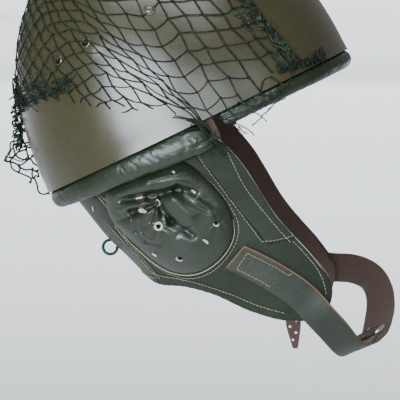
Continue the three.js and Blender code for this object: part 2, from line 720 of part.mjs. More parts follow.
// The right strap's end is folded round the bar of the buckle, to the inside
const FOLD_RADIUS = BUCKLE_WIRE / 2 + GAP + STRAP_THICKNESS / 2;
const FOLD_STEPS = 6;
const FOLD_TAIL = 10;
const rightFrames = strapFrames(RIGHT_STRAP, -1, STRAP_STEPS);
const barFrame = rightFrames[rightFrames.length - 1];
const barCentre = barFrame.middle.clone().addScaledVector(barFrame.face, -FOLD_RADIUS);

function foldFrames() {
  const { run, across, face } = barFrame;
  const turnedFrame = (angle) => {
    const out = face.clone().multiplyScalar(Math.cos(angle)).addScaledVector(run, Math.sin(angle));
    return {
      middle: barCentre.clone().addScaledVector(out, FOLD_RADIUS),
      across,
      width: STRAP_WIDTH,
      face: out,
    };
  };
  const frames = [];
  for (let i = 1; i <= FOLD_STEPS; i += 1) {
    frames.push(turnedFrame((i / FOLD_STEPS) * Math.PI));
  }
  const last = frames[frames.length - 1];
  frames.push({ ...last, middle: last.middle.clone().addScaledVector(run, -FOLD_TAIL) });
  return frames;
}

add('right_chin_strap', strapSolid([...rightFrames, ...foldFrames()], STRAP_THICKNESS), 'leather');
const leftFrames = strapFrames(LEFT_STRAP, 1, STRAP_STEPS);
add('left_chin_strap', strapSolid(leftFrames, STRAP_THICKNESS), 'leather');

// Buckle: a rounded rectangle of wire whose near bar lies in the fold, and its prong
const BUCKLE_SLACK = 0.7;
const BUCKLE_WIDTH = STRAP_WIDTH + 2 * (GAP + BUCKLE_SLACK) + BUCKLE_WIRE;
const BUCKLE_CORNER = 3;
const BUCKLE_CORNER_STEPS = 3;
const WIRE_SIDES = 6;

function buckleGeometry() {
  const { run, across, face } = barFrame;
  const halfWidth = BUCKLE_WIDTH / 2 - BUCKLE_CORNER;
  const corners = [
    { w: 1, l: 0 }, { w: 1, l: 1 }, { w: -1, l: 1 }, { w: -1, l: 0 },
  ];
  const rings = [];
  corners.forEach(({ w, l }, k) => {
    for (let i = 0; i <= BUCKLE_CORNER_STEPS; i += 1) {
      const turn = (-90 + 90 * k + 90 * (i / BUCKLE_CORNER_STEPS)) * DEG;
      const outW = Math.cos(turn);
      const outL = Math.sin(turn);
      const out = across.clone().multiplyScalar(outW).addScaledVector(run, outL);
      const centre = barCentre.clone()
        .addScaledVector(across, w * halfWidth)
        .addScaledVector(run, l * (BUCKLE_LENGTH - BUCKLE_CORNER) + (1 - l) * BUCKLE_CORNER)
        .addScaledVector(out, BUCKLE_CORNER);
      rings.push(wireRing(centre, out, face));
    }
  });
  return tube(rings, true);
}

function wireRing(centre, out, up) {
  const ring = [];
  for (let i = 0; i < WIRE_SIDES; i += 1) {
    const a = (i / WIRE_SIDES) * 2 * Math.PI;
    ring.push(centre.clone()
      .addScaledVector(out, (BUCKLE_WIRE / 2) * Math.cos(a))
      .addScaledVector(up, (BUCKLE_WIRE / 2) * Math.sin(a)));
  }
  return ring;
}

add('buckle_frame', buckleGeometry(), 'nickel');

// The prong starts clear of the fold and rests against the inner side of the far bar
const PRONG_RADIUS = 0.9;
const PRONG_START = FOLD_RADIUS + STRAP_THICKNESS / 2 + GAP + 0.2;
const PRONG_END = BUCKLE_LENGTH + 2;
const PRONG_REST = BUCKLE_WIRE / 2 + 1.8 * GAP + PRONG_RADIUS;

function prongGeometry() {
  const { run, face } = barFrame;
  const start = barCentre.clone().addScaledVector(run, PRONG_START);
  const end = barCentre.clone().addScaledVector(run, PRONG_END).addScaledVector(face, -PRONG_REST);
  const length = end.distanceTo(start);
  return pin(PRONG_RADIUS, length, start.clone().lerp(end, 0.5), end.clone().sub(start), WIRE_SIDES);
}

add('buckle_prong', prongGeometry(), 'nickel');

// Perforated free end, sewn to the left flap, with its foot hanging below the hem
const TAIL_ROWS = [
  { x: 146, z: -289, width: 15 },
  { x: 147, z: -299, width: 15 },
  { x: 148, y: 74.2, z: -308, face: [0, 1, 0], width: 15 },
  { x: 149, y: 73.5, z: -328, face: [0, 1, 0], width: 12 },
  { x: 150, y: 73.0, z: -340, face: [0, 1, 0], width: 7 },
  { x: 150.5, y: 73.0, z: -346, face: [0, 1, 0], width: 4 },
];
const TAIL_HOLES = [
  { x: 145, z: -319 },
  { x: 151, z: -323 },
  { x: 146, z: -328 },
  { x: 151, z: -333 },
  { x: 148.5, z: -339 },
];
const TAIL_HOLE_RADIUS = 0.9;
const TAIL_HOLE_STRETCH = 1.3;
const TAIL_FOOT_Y = 73;

function tailGeometry() {
  const frames = TAIL_ROWS.map((row) => {
    const { middle, face } = strapRow(row, 1);
    const across = X_AXIS.clone().projectOnPlane(face).normalize();
    return { middle, face, across, width: row.width };
  });
  const holes = TAIL_HOLES.map(({ x, z }) => {
    const centre = new THREE.Vector3(x, TAIL_FOOT_Y, z);
    return pin(TAIL_HOLE_RADIUS, HOLE_DEPTH, centre, Y_AXIS, HOLE_SIDES, TAIL_HOLE_STRETCH);
  });
  return cut(strapSolid(frames, LEATHER), holes);
}

add('left_strap_tail', tailGeometry(), 'leather');

// Cord loop at the middle of the nape, open where it is sewn to the curtain
const LOOP_RADIUS = 5.2;
const LOOP_SEAT_DOWN = 0.56;
const LOOP_STAND = 2.9;
const LOOP_OPEN_ANGLE = 66;
const LOOP_STEPS = 14;
const CORD_SIDES = 6;

function cordLoopGeometry() {
  const seat = skirtPoint(0, LOOP_SEAT_DOWN);
  const normal = skirtNormal(0, LOOP_SEAT_DOWN);
  const side = normal.clone().cross(Y_AXIS).normalize();
  const centre = seat.clone().addScaledVector(normal, LEATHER / 2 + LOOP_STAND);
  const rings = [];
  for (let i = 0; i <= LOOP_STEPS; i += 1) {
    const turn = THREE.MathUtils.lerp(LOOP_OPEN_ANGLE, 360 - LOOP_OPEN_ANGLE, i / LOOP_STEPS) * DEG;
    const out = normal.clone().multiplyScalar(-Math.cos(turn)).addScaledVector(side, Math.sin(turn));
    const ring = [];
    for (let k = 0; k < CORD_SIDES; k += 1) {
      const a = (k / CORD_SIDES) * 2 * Math.PI;
      ring.push(centre.clone()
        .addScaledVector(out, LOOP_RADIUS + (CORD_DIAMETER / 2) * Math.cos(a))
        .addScaledVector(Y_AXIS, (CORD_DIAMETER / 2) * Math.sin(a)));
    }
    rings.push(ring);
  }
  return tube(rings);
}

add('nape_cord_loop', cordLoopGeometry(), 'twine');

// Camouflage net: a lattice laid over the dome. A place on the net is p forwards and q to the right of
// the crown, measured over the steel; the meshes lie cornerwise to the helmet.
const NET_MESH = 33.7;
const NET_FORWARD = 20.4;          // the first knot lies this far in front of the crown
const NET_REACH = 240;             // from the crown to the rim, measured over the steel
const NET_LIFT = 1;
const NET_THICKNESS = 1.8;
const NET_FRONT = 92;              // the front border, forwards from the middle of the rim
const NET_HANG_FROM = 152;         // azimuth in degrees behind which the net hangs free of the steel
const NET_HANG = 56;
const NET_HANG_OUT = 9;
const NET_SPAN = 7;

// Height of the lower edge above the rim, by the place along the helmet
const NET_EDGE = [
  { u: -133, v: 76 },
  { u: -114, v: 70 },
  { u: -47, v: 38 },
  { u: -16, v: 22 },
  { u: 8, v: 6 },
  { u: 90, v: 6 },
];

function riseAt(v) {
  return Math.asin((Math.max(v, 0) / SHELL_HEIGHT) ** (SHELL_FULLNESS / 2));
}

function netPlace(p, q) {
  const azimuth = Math.atan2(q, p);
  const rise = (Math.PI / 2) * Math.max(0, 1 - Math.hypot(p, q) / NET_REACH);
  const flat = Math.max(Math.cos(rise), 0) ** (2 / SHELL_FULLNESS);
  const v = SHELL_HEIGHT * Math.sin(rise) ** (2 / SHELL_FULLNESS);
  const u = SHELL_HALF_LENGTH * flat * Math.cos(azimuth);
  const edge = interpolate(NET_EDGE, 'u', u, 'v');
  return { azimuth, rise, u, v, edge, hanging: Math.abs(azimuth) > NET_HANG_FROM * DEG };
}

// How far past the lower edge a place is, measured down the net
function netDrop(p, q, edge) {
  return Math.hypot(p, q) - NET_REACH * (1 - riseAt(edge) / (Math.PI / 2));
}

function netPoint(p, q, lift) {
  const { azimuth, rise, v, edge, hanging } = netPlace(p, q);
  if (!hanging || v > edge) {
    return domePoint(azimuth, rise).addScaledVector(domeNormal(azimuth, rise), NET_LIFT + lift);
  }
  const drop = netDrop(p, q, edge);
  const edgeRise = riseAt(edge);
  const normal = domeNormal(azimuth, edgeRise);
  return domePoint(azimuth, edgeRise)
    .addScaledVector(normal, NET_LIFT + lift + NET_HANG_OUT * Math.min(1, drop / NET_HANG))
    .addScaledVector(UP, -drop);
}

// The two stretches of the net, each told by the middle of a mesh: what lies on the steel,
// and what hangs free of it at the back
function liesOnSteel(p, q) {
  const { u, v, edge } = netPlace(p, q);
  return v > edge && u < NET_FRONT;
}

function hangsFree(p, q) {
  const { v, edge, hanging } = netPlace(p, q);
  return v <= edge && hanging && netDrop(p, q, edge) < NET_HANG;
}

// Solid of the meshes of one stretch, lowered by a small gap where it meets the other one
function netGeometry(stretch, gap) {
  const half = NET_MESH / Math.SQRT2;
  const place = (i, j) => [(i + j) * half + NET_FORWARD, (i - j) * half];
  const key = (i, j) => `${i},${j}`;
  const cells = new Map();
  for (let i = -NET_SPAN; i < NET_SPAN; i += 1) {
    for (let j = -NET_SPAN; j < NET_SPAN; j += 1) {
      if (stretch(...place(i + 0.5, j + 0.5))) {
        cells.set(key(i, j), [i, j]);
      }
    }
  }
  closeCorners(cells, key);
  const inset = TWINE / 2 / NET_MESH;
  const positions = [];
  const index = [];
  const point = (i, j, top) => {
    const corner = netPoint(...place(i, j), top ? NET_THICKNESS : 0).addScaledVector(UP, -gap);
    positions.push(...corner.toArray());
    return positions.length / 3 - 1;
  };
  const quad = (a, b, c, d) => index.push(a, b, c, a, c, d);
  const corners = [[0, 0], [1, 0], [1, 1], [0, 1]];
  cells.forEach(([i, j]) => {
    const ring = corners.map(([a, b]) => [i + a, j + b]);
    const hole = ring.map(([a, b]) => [
      a + (a > i ? -inset : inset),
      b + (b > j ? -inset : inset),
    ]);
    const sides = [false, true].map((top) => ({
      ring: ring.map((c) => point(...c, top)),
      hole: hole.map((c) => point(...c, top)),
    }));
    const beyond = [[i, j - 1], [i + 1, j], [i, j + 1], [i - 1, j]];
    corners.forEach((_, k) => {
      const next = (k + 1) % 4;
      const [low, high] = sides;
      quad(high.ring[k], high.ring[next], high.hole[next], high.hole[k]);
      quad(low.ring[next], low.ring[k], low.hole[k], low.hole[next]);
      quad(high.hole[k], high.hole[next], low.hole[next], low.hole[k]);
      if (!cells.has(key(...beyond[k]))) {
        quad(low.ring[k], low.ring[next], high.ring[next], high.ring[k]);
      }
    });
  });
  return outward(closed(positions, index));
}

// Two meshes that would touch only at a knot are joined by the mesh between them
function closeCorners(cells, key) {
  let added = true;
  while (added) {
    added = false;
    [...cells.values()].forEach(([i, j]) => {
      [[1, 1], [1, -1]].forEach(([a, b]) => {
        const bare = !cells.has(key(i + a, j)) && !cells.has(key(i, j + b));
        if (cells.has(key(i + a, j + b)) && bare) {
          cells.set(key(i + a, j), [i + a, j]);
          added = true;
        }
      });
    });
  }
}

const NET_SEAM_GAP = 0.45;
add('camouflage_net', netGeometry(liesOnSteel, 0), 'twine');
add('net_tail', netGeometry(hangsFree, NET_SEAM_GAP), 'twine');

export default helmet;
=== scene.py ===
# Paratrooper helmet: painted steel dome with padded leather rim rolls, leather ear flaps and nape
# curtain, chin strap with a wire buckle, and a knotted camouflage net drawn to one side.
# Shapes are worked out in millimetres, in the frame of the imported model, and turned to metres
# when a piece is made.

import math
import random

import bmesh
import bpy
import numpy as np
from mathutils import Matrix, Vector, noise


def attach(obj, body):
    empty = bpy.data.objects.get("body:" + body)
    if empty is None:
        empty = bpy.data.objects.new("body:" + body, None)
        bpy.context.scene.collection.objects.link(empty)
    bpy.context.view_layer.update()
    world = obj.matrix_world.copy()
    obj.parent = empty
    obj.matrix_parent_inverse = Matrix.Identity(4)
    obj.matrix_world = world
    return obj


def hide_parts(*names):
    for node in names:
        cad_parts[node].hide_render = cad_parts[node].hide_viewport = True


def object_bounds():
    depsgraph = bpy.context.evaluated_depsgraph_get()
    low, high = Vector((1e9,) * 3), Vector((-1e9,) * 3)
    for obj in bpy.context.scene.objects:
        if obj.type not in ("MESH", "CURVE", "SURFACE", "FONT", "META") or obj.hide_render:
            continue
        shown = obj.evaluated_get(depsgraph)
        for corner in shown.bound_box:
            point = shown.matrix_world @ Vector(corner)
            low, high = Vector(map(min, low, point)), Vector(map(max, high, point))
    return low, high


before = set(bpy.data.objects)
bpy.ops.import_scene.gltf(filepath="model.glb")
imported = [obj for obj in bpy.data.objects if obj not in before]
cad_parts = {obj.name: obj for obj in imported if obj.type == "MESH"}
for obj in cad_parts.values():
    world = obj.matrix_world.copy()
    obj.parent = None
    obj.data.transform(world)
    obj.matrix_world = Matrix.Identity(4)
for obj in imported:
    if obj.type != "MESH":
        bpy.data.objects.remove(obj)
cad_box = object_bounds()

MM = 0.001

# Shell
PITCH = math.radians(25.8)
SHELL_HALF_LENGTH = 132.0
SHELL_HALF_WIDTH = 114.0
SHELL_HEIGHT = 172.0
SHELL_WALL = 1.2
SHELL_FULLNESS = 2.2
LIP_FLARE = 0.3
LIP_HEIGHT = 6.0

# Leather
LEATHER = 2.2
GAP = 0.3
ROLL_THICKNESS = 14.0
ROLL_PROUD = 0.2
ROLL_TUCK = 1.4
FLAP_INSET = 15.7
STRAP_WIDTH = 23.0
STRAP_SEWN_WIDTH = 22.6
STRAP_THICKNESS = 2.4

# Small parts
VENT_HOLE_RADIUS = 3.7
RIVET_HOLE_RADIUS = 2.3
BUCKLE_WIRE = 2.6
BUCKLE_LENGTH = 13.0
BUCKLE_WIDTH = 27.6
BUCKLE_CORNER = 3.0
PRONG_RADIUS = 0.9

# Camera: the photograph looks at the wearer's right side, a little from the front and above
VIEW_TOWARDS_FRONT = math.radians(4.0)
VIEW_ABOVE = math.radians(4.5)
VIEW_DISTANCE = 2.0
VIEW_LENS = 225.0
VIEW_TARGET = Vector((0.0762, 0.0, -0.2171))
VIEW_BACK = Vector((
    math.sin(VIEW_TOWARDS_FRONT) * math.cos(VIEW_ABOVE),
    -math.cos(VIEW_TOWARDS_FRONT) * math.cos(VIEW_ABOVE),
    math.sin(VIEW_ABOVE),
))
VIEW_RIGHT = Vector((math.cos(VIEW_TOWARDS_FRONT), math.sin(VIEW_TOWARDS_FRONT), 0.0))
VIEW_UP = VIEW_BACK.cross(VIEW_RIGHT)

# Photograph: the pixel in its middle shows the camera's target, where one pixel is 0.8 mm wide
PHOTO_MIDDLE = 200
PHOTO_PIXEL = 0.8 * MM


def seen_place(across, down):
    """x and z in mm of what the photograph shows at a pixel, on the middle plane of the helmet."""
    lens = VIEW_TARGET + VIEW_BACK * VIEW_DISTANCE
    aside = VIEW_RIGHT * (across - PHOTO_MIDDLE) - VIEW_UP * (down - PHOTO_MIDDLE)
    ray = VIEW_TARGET + aside * PHOTO_PIXEL - lens
    place = lens - ray * (lens.y / ray.y)
    return place.x / MM, place.z / MM


# Camera, light and floor

def place_camera():
    data = bpy.data.cameras.new("photograph_view")
    data.lens = VIEW_LENS
    data.sensor_width = 36.0
    data.clip_end = 1000.0
    camera = bpy.data.objects.new("photograph_view", data)
    camera.location = VIEW_TARGET + VIEW_BACK * VIEW_DISTANCE
    camera.rotation_euler = (-VIEW_BACK).to_track_quat("-Z", "Y").to_euler()
    bpy.context.scene.collection.objects.link(camera)
    bpy.context.scene.camera = camera


def soft_box(name, place, aim, size, watts, mirrored=True):
    """Studio softbox. One that only lights the far floor is kept out of the mirror reflections."""
    data = bpy.data.lights.new(name, "AREA")
    data.shape = "RECTANGLE"
    data.size = size[0]
    data.size_y = size[1]
    data.energy = watts
    data.color = linear("ecf5ff")[:3]
    lamp = bpy.data.objects.new(name, data)
    lamp.location = place
    lamp.visible_glossy = mirrored
    lamp.rotation_euler = (Vector(aim) - Vector(place)).to_track_quat("-Z", "Y").to_euler()
    bpy.context.scene.collection.objects.link(lamp)


# Colours and nodes

def linear(hex_colour):
    """Linear RGBA of an sRGB hex colour such as 'a1b2c3'."""
    channels = [int(hex_colour[i:i + 2], 16) / 255 for i in (0, 2, 4)]
    return tuple(
        c / 12.92 if c <= 0.04045 else ((c + 0.055) / 1.055) ** 2.4 for c in channels
    ) + (1.0,)


def add_node(tree, kind, inputs, **settings):
    """Adds a node with its settings. An input given as a socket is linked, any other value is set."""
    node = tree.nodes.new(kind)
    for name, value in settings.items():
        setattr(node, name, value)
    for name, value in inputs.items():
        if isinstance(value, bpy.types.NodeSocket):
            tree.links.new(value, node.inputs[name])
        else:
            node.inputs[name].default_value = value
    return node


def new_material(name):
    material = bpy.data.materials.new(name)
    material.use_nodes = True
    material.node_tree.nodes.clear()
    return material, material.node_tree


def finish_surface(tree, inputs):
    surface = add_node(tree, "ShaderNodeBsdfPrincipled", inputs)
    add_node(tree, "ShaderNodeOutputMaterial", {"Surface": surface.outputs["BSDF"]})


def painted_steel():
    """Alkyd enamel sprayed on pressed steel: olive drab, satin, faint orange peel and handling marks."""
    material, tree = new_material("olive_enamel_sprayed_on_steel")
    place = add_node(tree, "ShaderNodeTexCoord", {}).outputs["Object"]
    # patches some 40 mm wide where the paint has been rubbed a little browner
    patches = add_node(tree, "ShaderNodeTexNoise", {
        "Vector": place, "Scale": 22.0, "Detail": 5.0, "Roughness": 0.6,
    }).outputs["Fac"]
    # specks of dust and grit in the paint, about 1 mm, drawn at 1.5 mm so that they show
    specks = add_node(tree, "ShaderNodeTexNoise", {
        "Vector": place, "Scale": 650.0, "Detail": 2.0, "Roughness": 0.7,
    }).outputs["Fac"]
    peel = add_node(tree, "ShaderNodeTexNoise", {
        "Vector": place, "Scale": 380.0, "Detail": 3.0,
    }).outputs["Fac"]
    tone = add_node(tree, "ShaderNodeMix", {0: patches, 6: linear("262411"), 7: linear("363118")},
                    data_type="RGBA").outputs[2]
    speck_share = add_node(tree, "ShaderNodeMapRange", {
        "Value": specks, "From Min": 0.56, "From Max": 0.72, "To Min": 0.0, "To Max": 0.35,
    }).outputs["Result"]
    colour = add_node(tree, "ShaderNodeMix", {0: speck_share, 6: tone, 7: linear("504d38")},
                      data_type="RGBA").outputs[2]
    roughness = add_node(tree, "ShaderNodeMapRange", {
        "Value": patches, "From Min": 0.3, "From Max": 0.7, "To Min": 0.24, "To Max": 0.32,
    }).outputs["Result"]
    bump = add_node(tree, "ShaderNodeBump", {"Height": peel, "Strength": 0.12, "Distance": 0.0004})
    finish_surface(tree, {
        "Base Color": colour, "Roughness": roughness, "IOR": 1.5, "Coat Weight": 0.7,
        "Coat Roughness": 0.28, "Normal": bump.outputs["Normal"],
    })
    return material


def glazed_leather(name, dark, light, roughness, shine_level, crease_depth):
    """Chrome-tanned sheepskin, dyed and glazed: fine pebble grain, soft shine, creases from use."""
    material, tree = new_material(name)
    place = add_node(tree, "ShaderNodeTexCoord", {}).outputs["Object"]
    patches = add_node(tree, "ShaderNodeTexNoise", {
        "Vector": place, "Scale": 45.0, "Detail": 6.0, "Roughness": 0.62,
    }).outputs["Fac"]
    # grain of sheepskin is 0.6 mm, drawn at 1.1 mm so that it shows
    grain = add_node(tree, "ShaderNodeTexVoronoi", {"Vector": place, "Scale": 900.0},
                     feature="SMOOTH_F1").outputs["Distance"]
    # wear creases 5 to 8 mm apart
    wear = add_node(tree, "ShaderNodeTexNoise", {
        "Vector": place, "Scale": 150.0, "Detail": 4.0, "Roughness": 0.55, "Distortion": 0.8,
    }).outputs["Fac"]
    folds = add_node(tree, "ShaderNodeMath", {0: wear, 1: 0.5}, operation="SUBTRACT").outputs[0]
    folds = add_node(tree, "ShaderNodeMath", {0: folds}, operation="ABSOLUTE").outputs[0]
    folds = add_node(tree, "ShaderNodeMapRange", {
        "Value": folds, "From Min": 0.0, "From Max": 0.06, "To Min": 0.0, "To Max": 1.0,
    }, interpolation_type="SMOOTHSTEP").outputs["Result"]
    colour = add_node(tree, "ShaderNodeMix", {0: patches, 6: linear(dark), 7: linear(light)},
                      data_type="RGBA").outputs[2]
    shine = add_node(tree, "ShaderNodeMapRange", {
        "Value": patches, "From Min": 0.3, "From Max": 0.7,
        "To Min": roughness - 0.06, "To Max": roughness + 0.09,
    }).outputs["Result"]
    creased = add_node(tree, "ShaderNodeBump", {
        "Height": folds, "Strength": crease_depth, "Distance": 0.0006,
    }).outputs["Normal"]
    bump = add_node(tree, "ShaderNodeBump", {
        "Height": grain, "Strength": 0.16, "Distance": 0.0005, "Normal": creased,
    })
    finish_surface(tree, {
        "Base Color": colour, "Roughness": shine, "IOR": 1.5, "Specular IOR Level": shine_level,
        "Normal": bump.outputs["Normal"],
    })
    return material


def raw_leather(name, dark, light):
    """Cut edge of vegetable-tanned leather: pale, fibrous and matt."""
    material, tree = new_material(name)
    place = add_node(tree, "ShaderNodeTexCoord", {}).outputs["Object"]
    # bundles of fibre 0.8 mm thick
    fibres = add_node(tree, "ShaderNodeTexNoise", {
        "Vector": place, "Scale": 900.0, "Detail": 5.0, "Roughness": 0.7,
    }).outputs["Fac"]
    colour = add_node(tree, "ShaderNodeMix", {0: fibres, 6: linear(dark), 7: linear(light)},
                      data_type="RGBA").outputs[2]
    bump = add_node(tree, "ShaderNodeBump", {"Height": fibres, "Strength": 0.5, "Distance": 0.0004})
    finish_surface(tree, {
        "Base Color": colour, "Roughness": 0.85, "IOR": 1.45, "Normal": bump.outputs["Normal"],
    })
    return material


def suede():
    """Flesh side of the leather, brushed: dark brown nap that catches light at grazing angles."""
    material, tree = new_material("brown_suede_flesh_side")
    place = add_node(tree, "ShaderNodeTexCoord", {}).outputs["Object"]
    nap = add_node(tree, "ShaderNodeTexNoise", {
        "Vector": place, "Scale": 420.0, "Detail": 6.0, "Roughness": 0.75,
    }).outputs["Fac"]
    colour = add_node(tree, "ShaderNodeMix", {0: nap, 6: linear("2a1d17"), 7: linear("57423a")},
                      data_type="RGBA").outputs[2]
    bump = add_node(tree, "ShaderNodeBump", {"Height": nap, "Strength": 0.6, "Distance": 0.0006})
    finish_surface(tree, {
        "Base Color": colour, "Roughness": 0.95, "IOR": 1.45, "Sheen Weight": 0.3,
        "Normal": bump.outputs["Normal"],
    })
    return material


def waxed_thread(name, dark, light):
    """Waxed linen thread: matt, with the twist of its plies, soiled here and there."""
    material, tree = new_material(name)
    place = add_node(tree, "ShaderNodeTexCoord", {}).outputs["Object"]
    soil = add_node(tree, "ShaderNodeTexNoise", {"Vector": place, "Scale": 260.0, "Detail": 4.0})
    colour = add_node(tree, "ShaderNodeMix", {0: soil.outputs["Fac"], 6: linear(dark), 7: linear(light)},
                      data_type="RGBA").outputs[2]
    # plies 0.5 mm across
    twist = add_node(tree, "ShaderNodeTexNoise", {"Vector": place, "Scale": 2000.0, "Detail": 2.0})
    bump = add_node(tree, "ShaderNodeBump", {
        "Height": twist.outputs["Fac"], "Strength": 0.6, "Distance": 0.0003,
    })
    finish_surface(tree, {
        "Base Color": colour, "Roughness": 0.75, "IOR": 1.5, "Normal": bump.outputs["Normal"],
    })
    return material


def nickel_plate():
    """Nickel plate on drawn steel wire: bright, warm grey, slightly clouded with age."""
    material, tree = new_material("nickel_plated_wire")
    place = add_node(tree, "ShaderNodeTexCoord", {}).outputs["Object"]
    cloud = add_node(tree, "ShaderNodeTexNoise", {"Vector": place, "Scale": 300.0, "Detail": 4.0})
    colour = add_node(tree, "ShaderNodeMix", {
        0: cloud.outputs["Fac"], 6: linear("a9a498"), 7: linear("dcd9d0"),
    }, data_type="RGBA").outputs[2]
    roughness = add_node(tree, "ShaderNodeMapRange", {
        "Value": cloud.outputs["Fac"], "From Min": 0.3, "From Max": 0.7, "To Min": 0.16, "To Max": 0.36,
    }).outputs["Result"]
    finish_surface(tree, {"Base Color": colour, "Metallic": 1.0, "Roughness": roughness})
    return material


def net_twine(name, dark, light):
    """Laid cotton twine, dyed green: matt, fuzzy, with paler fibres where the dye has worn off."""
    material, tree = new_material(name)
    place = add_node(tree, "ShaderNodeTexCoord", {}).outputs["Object"]
    worn = add_node(tree, "ShaderNodeTexNoise", {
        "Vector": place, "Scale": 240.0, "Detail": 5.0, "Roughness": 0.7,
    }).outputs["Fac"]
    worn = add_node(tree, "ShaderNodeMapRange", {
        "Value": worn, "From Min": 0.45, "From Max": 0.68, "To Min": 0.0, "To Max": 1.0,
    }).outputs["Result"]
    colour = add_node(tree, "ShaderNodeMix", {0: worn, 6: linear(dark), 7: linear(light)},
                      data_type="RGBA").outputs[2]
    # strands of the twine lie 0.6 mm apart
    lay = add_node(tree, "ShaderNodeTexNoise", {"Vector": place, "Scale": 1600.0, "Detail": 3.0})
    bump = add_node(tree, "ShaderNodeBump", {
        "Height": lay.outputs["Fac"], "Strength": 0.8, "Distance": 0.0004,
    })
    finish_surface(tree, {
        "Base Color": colour, "Roughness": 0.9, "IOR": 1.45, "Specular IOR Level": 0.3,
        "Normal": bump.outputs["Normal"],
    })
    return material


def floor_paper():
    """Uncoated white paper, too matt to mirror the lamps."""
    material, tree = new_material("uncoated_white_paper")
    finish_surface(tree, {
        "Base Color": linear("f4f4f2"), "Roughness": 1.0, "Specular IOR Level": 0.0,
    })
    return material


# Making pieces

SIDE_FACE, BACK_FACE, EDGE_FACE = 0, 1, 2


def make_piece(name, points, faces, finishes, labels=None, crease_angle=None):
    """A smooth mesh piece on the helmet. Points are in mm; a label is the place of a face's finish."""
    mesh = bpy.data.meshes.new(name)
    mesh.from_pydata((np.asarray(points) * MM).tolist(), [], faces)
    for material in finishes:
        mesh.materials.append(material)
    if labels is not None:
        mesh.polygons.foreach_set("material_index", labels)
    tidy = bmesh.new()
    tidy.from_mesh(mesh)
    bmesh.ops.remove_doubles(tidy, verts=tidy.verts, dist=1e-6)
    bmesh.ops.recalc_face_normals(tidy, faces=tidy.faces)
    tidy.to_mesh(mesh)
    tidy.free()
    mesh.shade_smooth()
    if crease_angle is not None:
        mesh.set_sharp_from_angle(angle=math.radians(crease_angle))
    piece = bpy.data.objects.new(name, mesh)
    bpy.context.scene.collection.objects.link(piece)
    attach(piece, "root")
    return piece


def mirror_piece(piece, name):
    """The wearer's left side is the right side turned over across the middle plane."""
    mesh = piece.data.copy()
    mesh.name = name
    mesh.transform(Matrix.Scale(-1, 4, (0, 1, 0)))
    mesh.flip_normals()
    copy = bpy.data.objects.new(name, mesh)
    bpy.context.scene.collection.objects.link(copy)
    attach(copy, "root")
    return copy


def pair(piece, part_name):
    left = mirror_piece(piece, piece.name.replace("right_", "left_"))
    if part_name:
        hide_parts("right_" + part_name)
        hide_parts("left_" + part_name)
    return left


def quads(rows, columns, start, wrapped=False):
    faces = []
    spans = columns if wrapped else columns - 1
    for r in range(rows - 1):
        for c in range(spans):
            d = (c + 1) % columns
            faces.append((
                start + r * columns + c, start + r * columns + d,
                start + (r + 1) * columns + d, start + (r + 1) * columns + c,
            ))
    return faces


def slab(front, back, wrapped=False):
    """Closed body between two grids of points. Returns points, faces and a label for each face."""
    rows, columns = front.shape[:2]
    half = rows * columns
    points = np.concatenate([front.reshape(-1, 3), back.reshape(-1, 3)])
    faces = quads(rows, columns, 0, wrapped)
    labels = [SIDE_FACE] * len(faces)
    behind = quads(rows, columns, half, wrapped)
    faces += behind
    labels += [BACK_FACE] * len(behind)
    spans = columns if wrapped else columns - 1
    rim = []
    for c in range(spans):
        d = (c + 1) % columns
        for row in (0, (rows - 1) * columns):
            rim.append((row + c, row + d, half + row + d, half + row + c))
    if not wrapped:
        for r in range(rows - 1):
            for column in (0, columns - 1):
                a, b = r * columns + column, (r + 1) * columns + column
                rim.append((a, b, half + b, half + a))
    faces += rim
    labels += [EDGE_FACE] * len(rim)
    return points, faces, labels


def tube(path, radii, sides, joined=False, flatten=1.0, up=None):
    """Round tube along a path of points, closed at its ends. Returns points and faces."""
    path = np.asarray(path, float)
    count = len(path)
    radii = np.broadcast_to(np.asarray(radii, float), (count,))
    if joined:
        run = np.roll(path, -1, axis=0) - np.roll(path, 1, axis=0)
    else:
        run = np.gradient(path, axis=0)
    run /= np.maximum(np.linalg.norm(run, axis=1, keepdims=True), 1e-9)
    if up is None:
        up = np.array([0.0, 1.0, 0.0]) if abs(run[0][1]) < 0.9 else np.array([1.0, 0.0, 0.0])
    side = np.empty_like(path)
    last = np.cross(run[0], up)
    for k in range(count):
        last = last - run[k] * (last @ run[k])
        last = last / max(np.linalg.norm(last), 1e-9)
        side[k] = last
    rise = np.cross(side, run)
    turn = np.arange(sides) / sides * 2 * math.pi
    ring = (side[:, None] * np.cos(turn)[None, :, None]
            + rise[:, None] * flatten * np.sin(turn)[None, :, None])
    points = (path[:, None] + ring * radii[:, None, None]).reshape(-1, 3)
    faces = quads(count, sides, 0, True)
    if joined:
        offset = (count - 1) * sides
        faces += [(offset + c, offset + (c + 1) % sides, (c + 1) % sides, c) for c in range(sides)]
    else:
        faces.append(tuple(range(sides)))
        faces.append(tuple(range((count - 1) * sides, count * sides)))
    return points, faces


def gather_bodies(bodies):
    """Several bodies of points and faces as one."""
    points, faces = [], []
    start = 0
    for body_points, body_faces in bodies:
        points.append(body_points)
        faces += [tuple(start + i for i in face) for face in body_faces]
        start += len(body_points)
    return np.concatenate(points), faces


